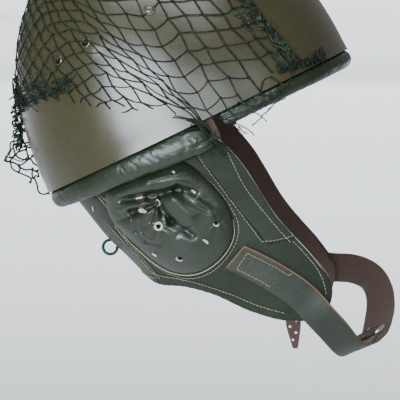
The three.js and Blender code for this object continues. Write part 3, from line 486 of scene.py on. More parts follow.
def punch(piece, pins):
    """Cuts holes, given as closed bodies of points and faces, through a piece."""
    points, faces = gather_bodies(pins)
    mesh = bpy.data.meshes.new("punch")
    mesh.from_pydata((points * MM).tolist(), [], faces)
    tidy = bmesh.new()
    tidy.from_mesh(mesh)
    bmesh.ops.recalc_face_normals(tidy, faces=tidy.faces)
    tidy.to_mesh(mesh)
    tidy.free()
    tool = bpy.data.objects.new("punch", mesh)
    bpy.context.scene.collection.objects.link(tool)
    cut = piece.modifiers.new("holes", "BOOLEAN")
    cut.operation = "DIFFERENCE"
    cut.solver = "EXACT"
    cut.object = tool
    bpy.context.view_layer.update()
    seen = piece.evaluated_get(bpy.context.evaluated_depsgraph_get())
    result = bpy.data.meshes.new_from_object(seen)
    old = piece.data
    piece.modifiers.clear()
    piece.data = result
    result.name = piece.name
    bpy.data.meshes.remove(old)
    bpy.data.objects.remove(tool)
    bpy.data.meshes.remove(mesh)


def unit(vectors):
    return vectors / np.maximum(np.linalg.norm(vectors, axis=-1, keepdims=True), 1e-9)


def ridges(places, sharpness):
    """Thin wandering lines, from 0 between them to 1 on them, for places measured in line spacings."""
    flat = places.reshape(-1, 3)
    values = np.array([noise.noise(p) for p in flat.tolist()])
    return (np.clip(1 - np.abs(values) * 2.4, 0, 1) ** sharpness).reshape(places.shape[:-1])


def waves(places):
    """Soft swells from -1 to 1, for places measured in swells."""
    flat = places.reshape(-1, 3)
    return np.array([noise.noise(p) for p in flat.tolist()]).reshape(places.shape[:-1])


# Smooth curves

def curve_blend(p0, p1, p2, p3, weight):
    """Centripetal Catmull-Rom between p1 and p2, the curve that the solids are built on."""
    d0 = np.sqrt(np.linalg.norm(p1 - p0, axis=-1, keepdims=True))
    d1 = np.sqrt(np.linalg.norm(p2 - p1, axis=-1, keepdims=True))
    d2 = np.sqrt(np.linalg.norm(p3 - p2, axis=-1, keepdims=True))
    t1 = ((p1 - p0) / d0 - (p2 - p0) / (d0 + d1) + (p2 - p1) / d1) * d1
    t2 = ((p2 - p1) / d1 - (p3 - p1) / (d1 + d2) + (p3 - p2) / d2) * d1
    c2 = -3 * p1 + 3 * p2 - 2 * t1 - t2
    c3 = 2 * p1 - 2 * p2 + t1 + t2
    return p1 + t1 * weight + c2 * weight ** 2 + c3 * weight ** 3


def with_ends(points):
    """Control points with one more drawn out past each end."""
    first = 2 * points[..., :1, :] - points[..., 1:2, :]
    last = 2 * points[..., -1:, :] - points[..., -2:-1, :]
    return np.concatenate([first, points, last], axis=-2)


def curve_points(controls, shares, closed=False):
    """Points of the curve through control points at shares from 0 to 1."""
    controls = np.asarray(controls, float)
    shares = np.asarray(shares, float)
    if closed:
        padded = np.concatenate([controls[-1:], controls, controls[:2]])
        spans = len(controls)
    else:
        padded = with_ends(controls)
        spans = len(controls) - 1
    place = shares * spans
    step = np.clip(np.floor(place).astype(int), 0, spans - 1)
    weight = (place - step)[:, None]
    return curve_blend(padded[step], padded[step + 1], padded[step + 2], padded[step + 3], weight)


def path_reach(path):
    """Distance of each point of a path from its start."""
    return np.concatenate([[0], np.cumsum(np.linalg.norm(np.diff(path, axis=0), axis=1))])


def along_line(line, reach, at):
    return np.array([np.interp(at, reach, line[:, k]) for k in range(3)])


def evenly(path, spacing):
    """Points along a path, evenly spaced by about the given spacing."""
    reach = path_reach(path)
    count = max(2, int(round(reach[-1] / spacing)) + 1)
    marks = np.linspace(0, reach[-1], count)
    return np.stack([np.interp(marks, reach, path[:, k]) for k in range(path.shape[1])], axis=-1)


# Steel shell

def from_shell(u, w, v):
    """Shell frame (u forward, w left, v up from the rim) to the frame of the model."""
    down = v - (SHELL_HEIGHT - SHELL_WALL)
    cos, sin = math.cos(PITCH), math.sin(PITCH)
    u, w, down = np.broadcast_arrays(u, w, down)
    return np.stack([u * cos - down * sin, w, u * sin + down * cos], axis=-1)


def dome_point(azimuth, rise, inwards=0.0):
    """Azimuth 0 is the front and grows to the wearer's right; rise is 0 at the rim."""
    flat = np.maximum(np.cos(rise), 0) ** (2 / SHELL_FULLNESS)
    tall = np.maximum(np.sin(rise), 0) ** (2 / SHELL_FULLNESS)
    v = (SHELL_HEIGHT - inwards) * tall
    lip = LIP_FLARE * np.maximum(0, 1 - v / LIP_HEIGHT)
    return from_shell(
        (SHELL_HALF_LENGTH - inwards + lip) * flat * np.cos(azimuth),
        -(SHELL_HALF_WIDTH - inwards + lip) * flat * np.sin(azimuth),
        v,
    )


def dome_normal(azimuth, rise):
    flat = np.maximum(np.cos(rise), 0) ** (2 / SHELL_FULLNESS)
    tall = np.maximum(np.sin(rise), 0) ** (2 / SHELL_FULLNESS)
    spread = flat ** (SHELL_FULLNESS - 1)
    crown = SHELL_HEIGHT - SHELL_WALL
    return unit(from_shell(
        spread * np.cos(azimuth) / SHELL_HALF_LENGTH,
        -spread * np.sin(azimuth) / SHELL_HALF_WIDTH,
        tall ** (SHELL_FULLNESS - 1) / SHELL_HEIGHT + crown,
    ))


SHELL_AROUND = 220
SHELL_RINGS = 84
FITTINGS = {
    "liner_rivet": (math.radians(84), math.radians(30.5)),
    "vent_front": (math.radians(112), math.radians(30)),
    "vent_back": (math.radians(126.5), math.radians(29)),
}
# Uneven places in the steel: azimuth and rise in degrees, reach and depth in mm. The two beside the
# vents are raised, so their depth is negative
SHELL_DENTS = [
    (109.8, 27.8, 6.0, -0.8),
    (124.4, 27.0, 5.5, -0.7),
    (70.0, 22.0, 26.0, 0.5),
    (150.0, 38.0, 34.0, 0.6),
    (40.0, 40.0, 30.0, 0.5),
]


def shell_skin(inwards):
    rise = (math.pi / 2) * np.linspace(0, 1, SHELL_RINGS + 1)[:-1] ** 1.1
    azimuth = np.arange(SHELL_AROUND) / SHELL_AROUND * 2 * math.pi
    rises, azimuths = np.meshgrid(rise, azimuth, indexing="ij")
    skin = dome_point(azimuths, rises, inwards)
    normals = dome_normal(azimuths, rises)
    for side in (1, -1):
        for dent_azimuth, dent_rise, reach, depth in SHELL_DENTS:
            heart = dome_point(side * math.radians(dent_azimuth), math.radians(dent_rise))
            miss = np.linalg.norm(skin - heart, axis=-1) / reach
            skin = skin - normals * (depth * np.exp(-miss ** 2))[..., None]
    return skin


def steel_shell(paint):
    outer, inner = shell_skin(0.0), shell_skin(SHELL_WALL)
    rows, columns = outer.shape[:2]
    half = rows * columns
    crowns = [dome_point(0.0, math.pi / 2), dome_point(0.0, math.pi / 2, SHELL_WALL)]
    points = np.concatenate([outer.reshape(-1, 3), inner.reshape(-1, 3), np.array(crowns)])
    faces = quads(rows, columns, 0, True) + quads(rows, columns, half, True)
    for c in range(columns):
        d = (c + 1) % columns
        faces.append((c, d, half + d, half + c))
        for side in (0, 1):
            ring = side * half + (rows - 1) * columns
            faces.append((ring + c, ring + d, 2 * half + side))
    shell = make_piece("steel_shell_skin", points, faces, [paint], crease_angle=50)
    pins = []
    for name, (azimuth, rise) in FITTINGS.items():
        radius = RIVET_HOLE_RADIUS if name == "liner_rivet" else VENT_HOLE_RADIUS
        for side in (1, -1):
            centre = dome_point(side * azimuth, rise)
            normal = dome_normal(side * azimuth, rise)
            pins.append(tube([centre - normal * 6, centre + normal * 6], radius, 32))
    punch(shell, pins)
    shell.data.shade_smooth()
    shell.data.set_sharp_from_angle(angle=math.radians(50))
    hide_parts("steel_shell")


TURNED_SIDES = 48


def turned(profile, centre, normal, ring=False):
    """Body turned about a normal from a profile of radius and height; a ring's profile is closed."""
    profile = np.asarray(profile, float)
    side = unit(np.cross(normal, [0.0, 0.0, 1.0]))
    other = np.cross(normal, side)
    turn = np.arange(TURNED_SIDES) / TURNED_SIDES * 2 * math.pi
    out = side[None] * np.cos(turn)[:, None] + other[None] * np.sin(turn)[:, None]
    points = centre + profile[:, None, :1] * out[None] + profile[:, None, 1:] * normal
    faces = quads(len(profile), TURNED_SIDES, 0, True)
    if ring:
        offset = (len(profile) - 1) * TURNED_SIDES
        for c in range(TURNED_SIDES):
            d = (c + 1) % TURNED_SIDES
            faces.append((offset + c, offset + d, d, c))
    return points.reshape(-1, 3), faces


# Radius and height above the steel
GROMMET_PROFILE = [
    (2.75, -3.0), (2.75, 0.2), (2.82, 0.7), (2.95, 1.0), (3.2, 1.05), (3.5, 0.95), (3.9, 0.72),
    (4.15, 0.5), (4.2, 0.35), (4.1, 0.3), (3.4, 0.3), (3.4, -3.0),
]
RIVET_PROFILE = [
    (0.0, -4.0), (2.0, -4.0), (2.0, 0.3), (4.5, 0.3), (4.62, 0.42), (4.55, 0.62), (4.25, 0.85),
    (3.9, 0.8), (3.7, 0.72), (3.5, 0.85), (3.1, 1.25), (2.5, 1.6), (1.7, 1.82), (0.9, 1.9), (0.0, 1.92),
]


def shell_fittings(paint):
    for name, (azimuth, rise) in FITTINGS.items():
        centre, normal = dome_point(azimuth, rise), dome_normal(azimuth, rise)
        if name == "liner_rivet":
            points, faces = turned(RIVET_PROFILE, centre, normal)
        else:
            points, faces = turned(GROMMET_PROFILE, centre, normal, ring=True)
        fitting = make_piece("right_" + name + "_turned", points, faces, [paint], crease_angle=40)
        left = pair(fitting, name)


# Padded rim rolls

# Height of each roll in mm at degrees from the front
BROW_ROLL = [(0, 14.0), (45, 13.5), (78.5, 13.0)]
NAPE_ROLL = [(86, 25.5), (105, 22.0), (125, 19.0), (150, 17.0), (180, 15.5)]
NAPE_END_LEAN = 4.0
ROLL_SQUARENESS = 2.2
ROLL_SECTION = 52
ROLL_END = 7.0                     # degrees over which a closed end draws in
ROLL_PLEATS = 11
ROLL_MM_PER_DEGREE = 2.15


def rim_roll(name, node, table, start, end, steps, lean, seed, leather):
    """Sheepskin sewn round a felt core; the skin wrinkles across the roll and puckers at its ends."""
    azimuth = np.linspace(start, end, steps + 1)
    own = np.where(azimuth > 180, 360 - azimuth, np.abs(azimuth))
    height = np.interp(own, [row[0] for row in table], [row[1] for row in table])
    from_end = np.minimum(azimuth - start, end - azimuth)
    closing = np.clip(from_end / ROLL_END, 0, 1)
    fullness = 0.3 + 0.7 * np.sqrt(np.clip(1 - (1 - closing) ** 2.4, 0, 1))
    ends = np.sign(0.5 * (start + end) - azimuth)
    lean_here = lean * (1 - np.clip(from_end / 20.0, 0, 1)) * ends
    turn = np.arange(ROLL_SECTION) / ROLL_SECTION * 2 * math.pi
    power = 2 / ROLL_SQUARENESS
    across = np.sign(np.cos(turn)) * np.abs(np.cos(turn)) ** power
    tall = np.sign(np.sin(turn)) * np.abs(np.sin(turn)) ** power
    radius = ROLL_THICKNESS / 2

    run_mm, turns = np.meshgrid(azimuth * ROLL_MM_PER_DEGREE, turn, indexing="ij")
    sine, cosine = np.sin(turns), np.cos(turns)
    # cross wrinkles 4 to 9 mm apart, finer near the ends, and slow swells of the stuffing
    places = np.stack([run_mm / 7.0, sine * 0.9, cosine * 0.5 + seed], -1)
    fine = np.stack([run_mm / 3.4, sine * 1.3, cosine + seed * 3], -1)
    swell = np.stack([run_mm / 26.0, sine * 0.6, np.full(run_mm.shape, seed * 5)], -1)
    near_end = np.exp(-from_end / 9.0)[:, None]
    relief = (-1.0 * ridges(places, 3.0) * (0.35 + 0.65 * near_end)
              - 0.4 * ridges(fine, 2.0) * (0.3 + 0.7 * near_end)
              + 0.45 * waves(swell) - 0.1)
    pleats = np.cos(turn * ROLL_PLEATS + 0.9 * np.sin(turn * 2 + seed))[None]
    relief = relief + 0.85 * pleats * np.exp(-((from_end - 2.0) / 4.5) ** 2)[:, None]
    tuck = np.clip((tall[None] - 0.75) / 0.25, 0, 1)
    relief = np.minimum(relief, 0.25) * (1 - 0.8 * tuck)

    centre_in = ROLL_THICKNESS / 2 - ROLL_PROUD
    inwards = centre_in - across[None] * (fullness[:, None] * radius + relief)
    v = (ROLL_TUCK - GAP - height[:, None] / 2
         + tall[None] * (fullness[:, None] * height[:, None] / 2 + relief))
    at = np.radians(azimuth[:, None] + lean_here[:, None] * (v / height[:, None]))
    points = from_shell(
        (SHELL_HALF_LENGTH - inwards) * np.cos(at),
        -(SHELL_HALF_WIDTH - inwards) * np.sin(at),
        v,
    )
    rows = points.shape[0]
    faces = quads(rows, ROLL_SECTION, 0, True)
    flat = points.reshape(-1, 3)
    caps = [points[0].mean(axis=0), points[-1].mean(axis=0)]
    flat = np.concatenate([flat, np.array(caps)])
    last, cap = (rows - 1) * ROLL_SECTION, rows * ROLL_SECTION
    for c in range(ROLL_SECTION):
        d = (c + 1) % ROLL_SECTION
        faces.append((c, d, cap))
        faces.append((last + c, last + d, cap + 1))
    roll = make_piece(name, flat, faces, [leather])
    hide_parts(node)


# Liner strap between the rolls: its sides in degrees, its ends in mm from the rim, how far inside the
# rim it lies, its thickness and its bulge
LOOP_AZIMUTH = (81.0, 83.8)
LOOP_DROP = (-0.5, -17.0)
LOOP_INSET = 5.0
LOOP_LEATHER = 1.4
LOOP_BULGE = 1.6


def liner_loops(raw, flesh):
    """Short tan strap of the liner that shows between the ends of the two rolls."""
    azimuth, v = np.meshgrid(np.radians(np.linspace(*LOOP_AZIMUTH, 12)), np.linspace(*LOOP_DROP, 24))
    bulge = LOOP_BULGE * np.sin((v - LOOP_DROP[0]) / (LOOP_DROP[1] - LOOP_DROP[0]) * math.pi)

    def sheet(inset):
        half_length = SHELL_HALF_LENGTH - (inset - bulge)
        half_width = SHELL_HALF_WIDTH - (inset - bulge)
        return from_shell(half_length * np.cos(azimuth), -half_width * np.sin(azimuth), v)

    points, faces, labels = slab(sheet(LOOP_INSET), sheet(LOOP_INSET + LOOP_LEATHER))
    pair(make_piece("right_liner_loop", points, faces, [flesh, flesh, raw], labels), None)


# Leather skirt: ear flaps and nape curtain cut from one surface

# Azimuth of each station's top on the shell, and its four places below it, from the nape to the front
SKIRT = [
    (180, (-13, 0, -227), (4, 0, -248), (20, 0, -263), (34, 0, -277)),
    (165, (-6, -34, -222), (9, -32, -243), (25, -28, -260), (41, -24, -280)),
    (150, (5, -60, -215), (16, -54, -237), (31, -48, -257), (50, -42, -281)),
    (132, (24, -81, -207), (35, -75, -231), (50, -66, -256), (69, -56, -281)),
    (117, (44, -90, -201), (59, -85, -226), (74, -79, -253), (93, -66, -286)),
    (106, (66, -93, -195), (81, -88, -220), (99, -82, -250), (121, -71, -298)),
    (97, (87, -92, -189), (102, -86, -216), (124, -81, -249), (151, -71, -305)),
    (90, (105, -90, -185), (123, -83, -216), (147, -77, -251), (174, -67, -302)),
    (83, (119, -87, -183), (141, -79, -221), (167, -71, -254), (187, -63, -286)),
]
SPANS_AROUND = 2 * (len(SKIRT) - 1)
SPANS_DOWN = 4
SKIRT_TOP_DROP = 2.0
SKIRT_STEP = 0.01
NAPE_SEAM = 0.25
SEAM_GAP = 0.0025
BAND_INSET = 0.012
BAND_TOP = 0.11
BAND_FOOT_BACK = 0.715
BAND_FOOT_FRONT = 0.645
BAND_LEATHER = 1.8
# How far down the flap, and where along the skirt the band's inner edge is there
BAND_INNER_DOWN = [0.1, 0.3, 0.5, 0.76]
BAND_INNER_ALONG = [0.757, 0.777, 0.797, 0.822]


def skirt_stations():
    stations = []
    for azimuth, *levels in SKIRT:
        at = math.radians(azimuth)
        top = from_shell(
            (SHELL_HALF_LENGTH - FLAP_INSET) * math.cos(at),
            -(SHELL_HALF_WIDTH - FLAP_INSET) * math.sin(at),
            -SKIRT_TOP_DROP,
        )
        stations.append([top, *[np.array(level, float) for level in levels]])
    return with_ends(np.array(stations))


STATIONS = skirt_stations()


def skirt_point(along, down):
    """Along runs from 0 at the nape to 1 at the front edge, negative on the left; down from 0 to 1."""
    along = np.asarray(along, float)
    down = np.broadcast_to(np.asarray(down, float), along.shape)
    shape = along.shape
    along, down = along.reshape(-1), down.reshape(-1)
    place = down * SPANS_DOWN
    step = np.clip(np.floor(place).astype(int), 0, SPANS_DOWN - 1)
    weight = (place - step)[:, None, None]
    right = curve_blend(
        STATIONS[:, step].transpose(1, 0, 2), STATIONS[:, step + 1].transpose(1, 0, 2),
        STATIONS[:, step + 2].transpose(1, 0, 2), STATIONS[:, step + 3].transpose(1, 0, 2), weight,
    )
    left = right[:, :0:-1] * np.array([1.0, -1.0, 1.0])
    level = with_ends(np.concatenate([left, right], axis=1))
    place = (0.5 + 0.5 * along) * SPANS_AROUND
    step = np.clip(np.floor(place).astype(int), 0, SPANS_AROUND - 1)
    weight = (place - step)[:, None]
    row = np.arange(len(along))
    points = curve_blend(
        level[row, step], level[row, step + 1], level[row, step + 2], level[row, step + 3], weight,
    )
    return points.reshape(*shape, 3)


def skirt_normal(along, down):
    along = np.asarray(along, float)
    down = np.broadcast_to(np.asarray(down, float), along.shape)
    a0, a1 = np.maximum(along - SKIRT_STEP, -1), np.minimum(along + SKIRT_STEP, 1)
    d0, d1 = np.maximum(down - SKIRT_STEP, 0), np.minimum(down + SKIRT_STEP, 1)
    across = skirt_point(a1, down) - skirt_point(a0, down)
    downwards = skirt_point(along, d1) - skirt_point(along, d0)
    return unit(np.cross(downwards, across))


def skirt_place(x, z):
    """Along and down of the right half of the skirt at places x, z of the side view."""
    x, z = np.asarray(x, float), np.asarray(z, float)
    shape = x.shape
    x, z = x.reshape(-1), z.reshape(-1)
    # the nearest place of a coarse grid, mended step by step
    i, j = np.meshgrid(np.linspace(0.125, 1, 15), np.linspace(0, 1, 11), indexing="ij")
    i, j = i.reshape(-1), j.reshape(-1)
    grid = skirt_point(i, j)
    nearest = np.argmin(np.hypot(grid[None, :, 0] - x[:, None], grid[None, :, 2] - z[:, None]), axis=1)
    along, down = i[nearest], j[nearest]
    for _ in range(6):
        here = skirt_point(along, down)
        a = (skirt_point(along + SKIRT_STEP, down) - here) / SKIRT_STEP
        d = (skirt_point(along, down + SKIRT_STEP) - here) / SKIRT_STEP
        miss_x, miss_z = x - here[:, 0], z - here[:, 2]
        scale = a[:, 0] * d[:, 2] - a[:, 2] * d[:, 0]
        along = np.clip(along + (miss_x * d[:, 2] - miss_z * d[:, 0]) / scale, 0, 0.99)
        down = np.clip(down + (a[:, 0] * miss_z - a[:, 2] * miss_x) / scale, 0, 0.99)
    return along.reshape(shape), down.reshape(shape)


def on_skirt(x, z, lift):
    along, down = skirt_place(x, z)
    normal = skirt_normal(along, down)
    return skirt_point(along, down) + normal * np.asarray(lift)[..., None], normal


def beside_skirt(x, z, rise):
    """Points that stand off the pocket's seat straight to the side."""
    seat, _ = on_skirt(x, z, np.full(np.shape(x), POCKET_SEAT))
    return seat - np.asarray(rise)[..., None] * np.array([0.0, 1.0, 0.0])


PANEL_EDGE = 1.2


def leather_panel(place, rows, columns, lift, thickness, relief):
    """Cut panel on the skirt with softened edges. place(s, t) gives along and down, s across, t down."""
    t, s = np.meshgrid(np.linspace(0, 1, rows), np.linspace(0, 1, columns), indexing="ij")
    # finer steps at the edges for their rounding
    t = 0.5 - 0.5 * np.cos(math.pi * (0.12 + 0.76 * t))
    t = (t - t.min()) / (t.max() - t.min())
    along, down = place(s, t)
    base = skirt_point(along, down)
    normal = skirt_normal(along, down)
    inside = np.minimum.reduce([
        np.linalg.norm(base - base[:, :1], axis=-1), np.linalg.norm(base - base[:, -1:], axis=-1),
        np.linalg.norm(base - base[:1], axis=-1), np.linalg.norm(base - base[-1:], axis=-1),
    ])
    softened = 0.45 * thickness * np.clip(1 - inside / PANEL_EDGE, 0, 1) ** 2
    shift = relief(base, along, down)
    front = base + normal * (lift + thickness / 2 + shift - softened)[..., None]
    back = base + normal * (lift - thickness / 2 + shift + 0.5 * softened)[..., None]
    return slab(front, back)


# x and z in the side view, half the height of the hole, and its length as a share of its height
HEARING_HOLES = {
    "main_eyelet": (51.5, -229.4, 2.0, 1.0),
    "pinch": (51, -209, 1.5, 1.6),
    "upper": (63, -188, 1.2, 1.4),
    "rear_blob": (39, -217, 1.2, 1.4),
    "front_low": (95, -227, 1.3, 1.2),
    "front_slit": (79, -203, 0.9, 2.0),
    "low_slit": (87, -241, 0.9, 2.0),
    "foot_slit": (67, -255, 0.9, 2.0),
}


def hearing_pins():
    pins = []
    for x, z, radius, stretch in HEARING_HOLES.values():
        centre = on_skirt(np.array([x]), np.array([z]), np.array([0.0]))[0][0]
        inwards, side = np.array([0.0, 1.0, 0.0]), np.array([1.0, 0.0, 0.0])
        path = [centre + inwards * 12, centre - inwards * 22]
        points, faces = tube(path, radius, 20, up=side)
        off = (points - centre) @ side
        points = points + side[None] * (off * (stretch - 1))[:, None]
        pins.append((points, faces))
    return pins


def flap_relief(base, along, down):
    """Slack and creases of the flap: swells of some 30 mm, fine puckers towards the hem."""
    swell = waves(base / 30.0 + 3.1)
    crease = ridges(np.stack([
        (base[..., 0] + 0.55 * base[..., 2]) / 11.0, base[..., 1] / 30.0,
        (base[..., 2] - 0.4 * base[..., 0]) / 34.0,
    ], axis=-1), 5.0)
    hem = np.exp(-((1 - down) / 0.09) ** 2)
    pucker = hem * np.cos(along * 190.0) * 0.12
    free = np.clip(down / 0.15, 0, 1) * np.clip((1 - np.abs(along)) / 0.03, 0, 1)
    return (0.25 * swell - 0.28 - 0.12 * crease + pucker) * free


# How far down the flap, and where along the skirt its front edge is there
FRONT_EDGE_DOWN = [0.0, 0.12, 0.3, 0.45, 0.62, 0.72, 0.85, 0.92, 0.96, 0.985, 1.0]
FRONT_EDGE_ALONG = [0.995, 0.985, 0.977, 0.99, 1.0, 1.012, 1.022, 1.012, 0.997, 0.975, 0.94]


def front_edge(down):
    """Where the front edge of a flap runs, with its rounded lower corner."""
    return np.interp(down, FRONT_EDGE_DOWN, FRONT_EDGE_ALONG)


def ear_flaps(leather, edge, flesh):
    def place(s, t):
        back = NAPE_SEAM + SEAM_GAP
        return back + (front_edge(t) - back) * s, t

    points, faces, labels = leather_panel(place, 110, 130, 0.0, LEATHER, flap_relief)
    flap = make_piece("right_ear_flap_leather", points, faces, [leather, flesh, edge], labels)
    punch(flap, hearing_pins())
    left = pair(flap, "ear_flap")


def nape_curtain(leather, edge, flesh):
    reach = NAPE_SEAM - SEAM_GAP

    def place(s, t):
        return -reach + 2 * reach * s, t

    points, faces, labels = leather_panel(place, 70, 90, 0.0, LEATHER, flap_relief)
    curtain = make_piece("nape_curtain_leather", points, faces, [leather, flesh, edge], labels)
    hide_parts("nape_curtain")


def front_bands(leather, edge, flesh):
    def place(s, t):
        foot = BAND_FOOT_BACK + (BAND_FOOT_FRONT - BAND_FOOT_BACK) * s
        down = BAND_TOP + (foot - BAND_TOP) * t
        inner = np.interp(down, BAND_INNER_DOWN, BAND_INNER_ALONG)
        return inner + (front_edge(down) - BAND_INSET - inner) * s, down

    def relief(base, along, down):
        crease = ridges(base / np.array([26.0, 26.0, 9.0]), 4.0)
        return 0.3 * (waves(base / 22.0) + 0.4) - 0.1 * crease * np.clip((down - BAND_TOP) / 0.1, 0, 1)

    points, faces, labels = leather_panel(place, 90, 40, LEATHER + GAP, BAND_LEATHER, relief)
    band = make_piece("right_front_band_leather", points, faces, [leather, flesh, edge], labels)
    left = pair(band, "front_band")


# Ear pockets

POCKET_OUTLINE = [
    (10, -204), (24, -195), (40, -187.5), (56, -182), (70, -180.5), (82, -188.5),
    (94, -201), (103.5, -215), (108, -231), (104, -246), (92, -259.5), (76, -267),
    (60, -266.5), (45, -258.5), (32, -247), (20, -236), (12, -226), (9, -216),
]
POCKET_CENTRE = (58.0, -226.0)
POCKET_PUFF = 9.5
POCKET_EDGE = 1.5
POCKET_SEAT = LEATHER / 2 + 2 * GAP
POCKET_SECTORS = 240
POCKET_RINGS = 78
POCKET_PUCKERS = 58
POCKET_PUCKER_DEPTH = 0.15
# x0, z0, x1, z1, width and rise of each fold of the puffed leather; a crease has a negative rise
POCKET_FOLDS = [
    (14, -209, 44, -195.5, 6.5, 4.6),      # rolled fold under the rim
    (44, -195.5, 76, -189.5, 6.5, 3.6),
    (17, -207, 44, -195, 3.4, 1.5),
    (44, -195, 66, -190.5, 3.4, 1.0),
    (22, -209.5, 46, -206.5, 3.4, -7.5),   # deep crease below it
    (46, -206.5, 66, -201.5, 3.2, -9.0),
    (66, -201.5, 78, -203.5, 3.2, -4.5),
    (28, -214.5, 45, -210.5, 3.2, 2.6),    # small fold that ends at the pinch
    (47, -213.5, 31, -219.5, 2.8, -5.5),
    (31, -219.5, 16, -228, 3.4, -5.0),
    (15, -230, 28, -236, 5.0, 3.0),        # rear ridge
    (51, -212, 61, -226, 2.6, -5.5),       # main crease from the pinch
    (61, -226, 77, -236, 2.8, -3.2),
    (62, -206, 76, -222, 5.0, 4.2),        # front lobe
    (80, -213, 93, -221, 6.0, 2.4),
    (44, -243, 74, -249, 11.0, 1.8),       # lower lobe
]
# Finer creases, in the same way
POCKET_CREASES = [
    (49, -213, 45, -226, 1.5, -1.5),       # flutes from the pinch to the main eyelet
    (50.5, -213, 50, -225, 1.3, 1.4),
    (52, -213, 55, -226, 1.5, -1.5),
    (53, -214, 58, -225, 1.4, 0.9),
    (30.5, -224, 33, -235, 1.5, -1.5),     # ring of creases behind and below the eyelet
    (33, -235, 40, -242, 1.5, -1.5),
    (40, -242, 52, -244, 1.6, -1.2),
    (36, -226, 38, -234, 1.3, -1.0),
    (38, -234, 45, -239, 1.3, -1.0),
    (66, -230, 76, -228, 1.6, 0.9),
    (66, -236, 74, -231, 1.5, -0.9),
    (20, -216, 36, -213, 1.4, -0.9),
    (18, -221, 30, -218, 1.3, -0.9),
    (17, -225, 26, -222.5, 1.2, 0.7),
    (24, -212, 40, -209.5, 1.2, -0.8),
    (70, -206, 88, -218, 2.2, -1.3),
    (74, -200, 92, -213, 2.6, -0.9),
    (30, -203, 62, -196, 1.6, -0.6),
]
# x, z, number of flutes, their depth and their reach in mm
PUCKER_CENTRES = [
    (50.4, -211.0, 9, 0.5, 6.0),
    (51.5, -229.4, 7, 0.25, 8.0),
    (95.2, -227.0, 6, 0.25, 4.0),
]


def line_rise(x, z, folds):
    total = np.zeros_like(x)
    for x0, z0, x1, z1, width, rise in folds:
        dx, dz = x1 - x0, z1 - z0
        share = np.clip(((x - x0) * dx + (z - z0) * dz) / (dx * dx + dz * dz), 0, 1)
        miss = np.hypot(x - x0 - share * dx, z - z0 - share * dz)
        total = total + rise * np.exp(-(miss / width) ** 2)
    return total


def pocket_rise(x, z, radius):
    crown = POCKET_EDGE + POCKET_PUFF * np.maximum(0, 1 - radius ** 3) ** 0.7
    inner = 1 - radius ** 4
    big = line_rise(x, z, POCKET_FOLDS) * inner
    fine = line_rise(x, z, POCKET_CREASES)
    for heart_x, heart_z, flutes, depth, reach in PUCKER_CENTRES:
        off = np.hypot(x - heart_x, z - heart_z)
        turn = np.arctan2(z - heart_z, x - heart_x)
        fluted = np.cos(flutes * turn + 0.6 * np.sin(2 * turn))
        fine = fine + depth * fluted * np.exp(-((off - 4) / reach) ** 2)
        fine = fine - 1.1 * depth * np.exp(-(off / 3.2) ** 2)
    wear = ridges(np.stack([x / 17.0, z / 11.0, 0 * x + 4.7], -1), 4.0)
    fine = fine - 0.22 * wear
    edge = np.clip((1 - radius) / 0.14, 0, 1)
    around = np.arctan2(z - POCKET_CENTRE[1], x - POCKET_CENTRE[0])
    puckers = POCKET_PUCKER_DEPTH * np.cos(around * POCKET_PUCKERS) * (edge < 1) * edge
    return np.maximum(POCKET_EDGE, crown + big + fine * edge + puckers)


def ear_pockets(leather, edge, flesh):
    shares = np.arange(POCKET_SECTORS) / POCKET_SECTORS
    outline = curve_points([(x, 0, z) for x, z in POCKET_OUTLINE], shares, closed=True)
    radius = np.linspace(0.004, 1, POCKET_RINGS) ** 0.8
    x = POCKET_CENTRE[0] + (outline[None, :, 0] - POCKET_CENTRE[0]) * radius[:, None]
    z = POCKET_CENTRE[1] + (outline[None, :, 2] - POCKET_CENTRE[1]) * radius[:, None]
    rise = pocket_rise(x, z, np.broadcast_to(radius[:, None], x.shape))
    front = beside_skirt(x, z, rise)
    back = beside_skirt(x, z, np.zeros(x.shape))
    points, faces, labels = slab(front, back, wrapped=True)
    pocket = make_piece("right_ear_pocket_leather", points, faces, [leather, flesh, edge], labels)
    punch(pocket, hearing_pins())
    left = pair(pocket, "ear_pocket")


# Lips of the hearing holes: x, z, slope of the longer way in degrees, half length and half width,
# thickness, and where the lip starts and ends round the hole in degrees
HOLE_LIPS = [
    (51.5, -229.4, 0, 2.75, 2.75, 0.85, 0, 360),
    (50.8, -211.4, 100, 2.4, 1.7, 0.55, 150, 400),
    (61.9, -189.0, 10, 2.1, 1.6, 0.8, 0, 360),
    (36.8, -208.0, 14, 2.6, 0.35, 0.45, 0, 360),
    (39.0, -217.8, -8, 2.7, 0.8, 0.85, 0, 360),
    (95.2, -227.4, 0, 2.0, 1.7, 0.6, 170, 370),
    (78.1, -202.8, -40, 1.6, 0.35, 0.6, 0, 360),
    (87.3, -241.1, -38, 2.1, 0.4, 0.6, 0, 360),
    (67.0, -254.8, -20, 2.4, 1.5, 0.6, 160, 370),
    (47.3, -252.8, -25, 1.6, 0.3, 0.5, 0, 360),
]
# Raw lips of the slit in the nape curtain: x and z of its middle, half its width and half its height
NAPE_SLIT = (-4.5, -221.0, 0.3, 1.8)
SLIT_STEPS = 24


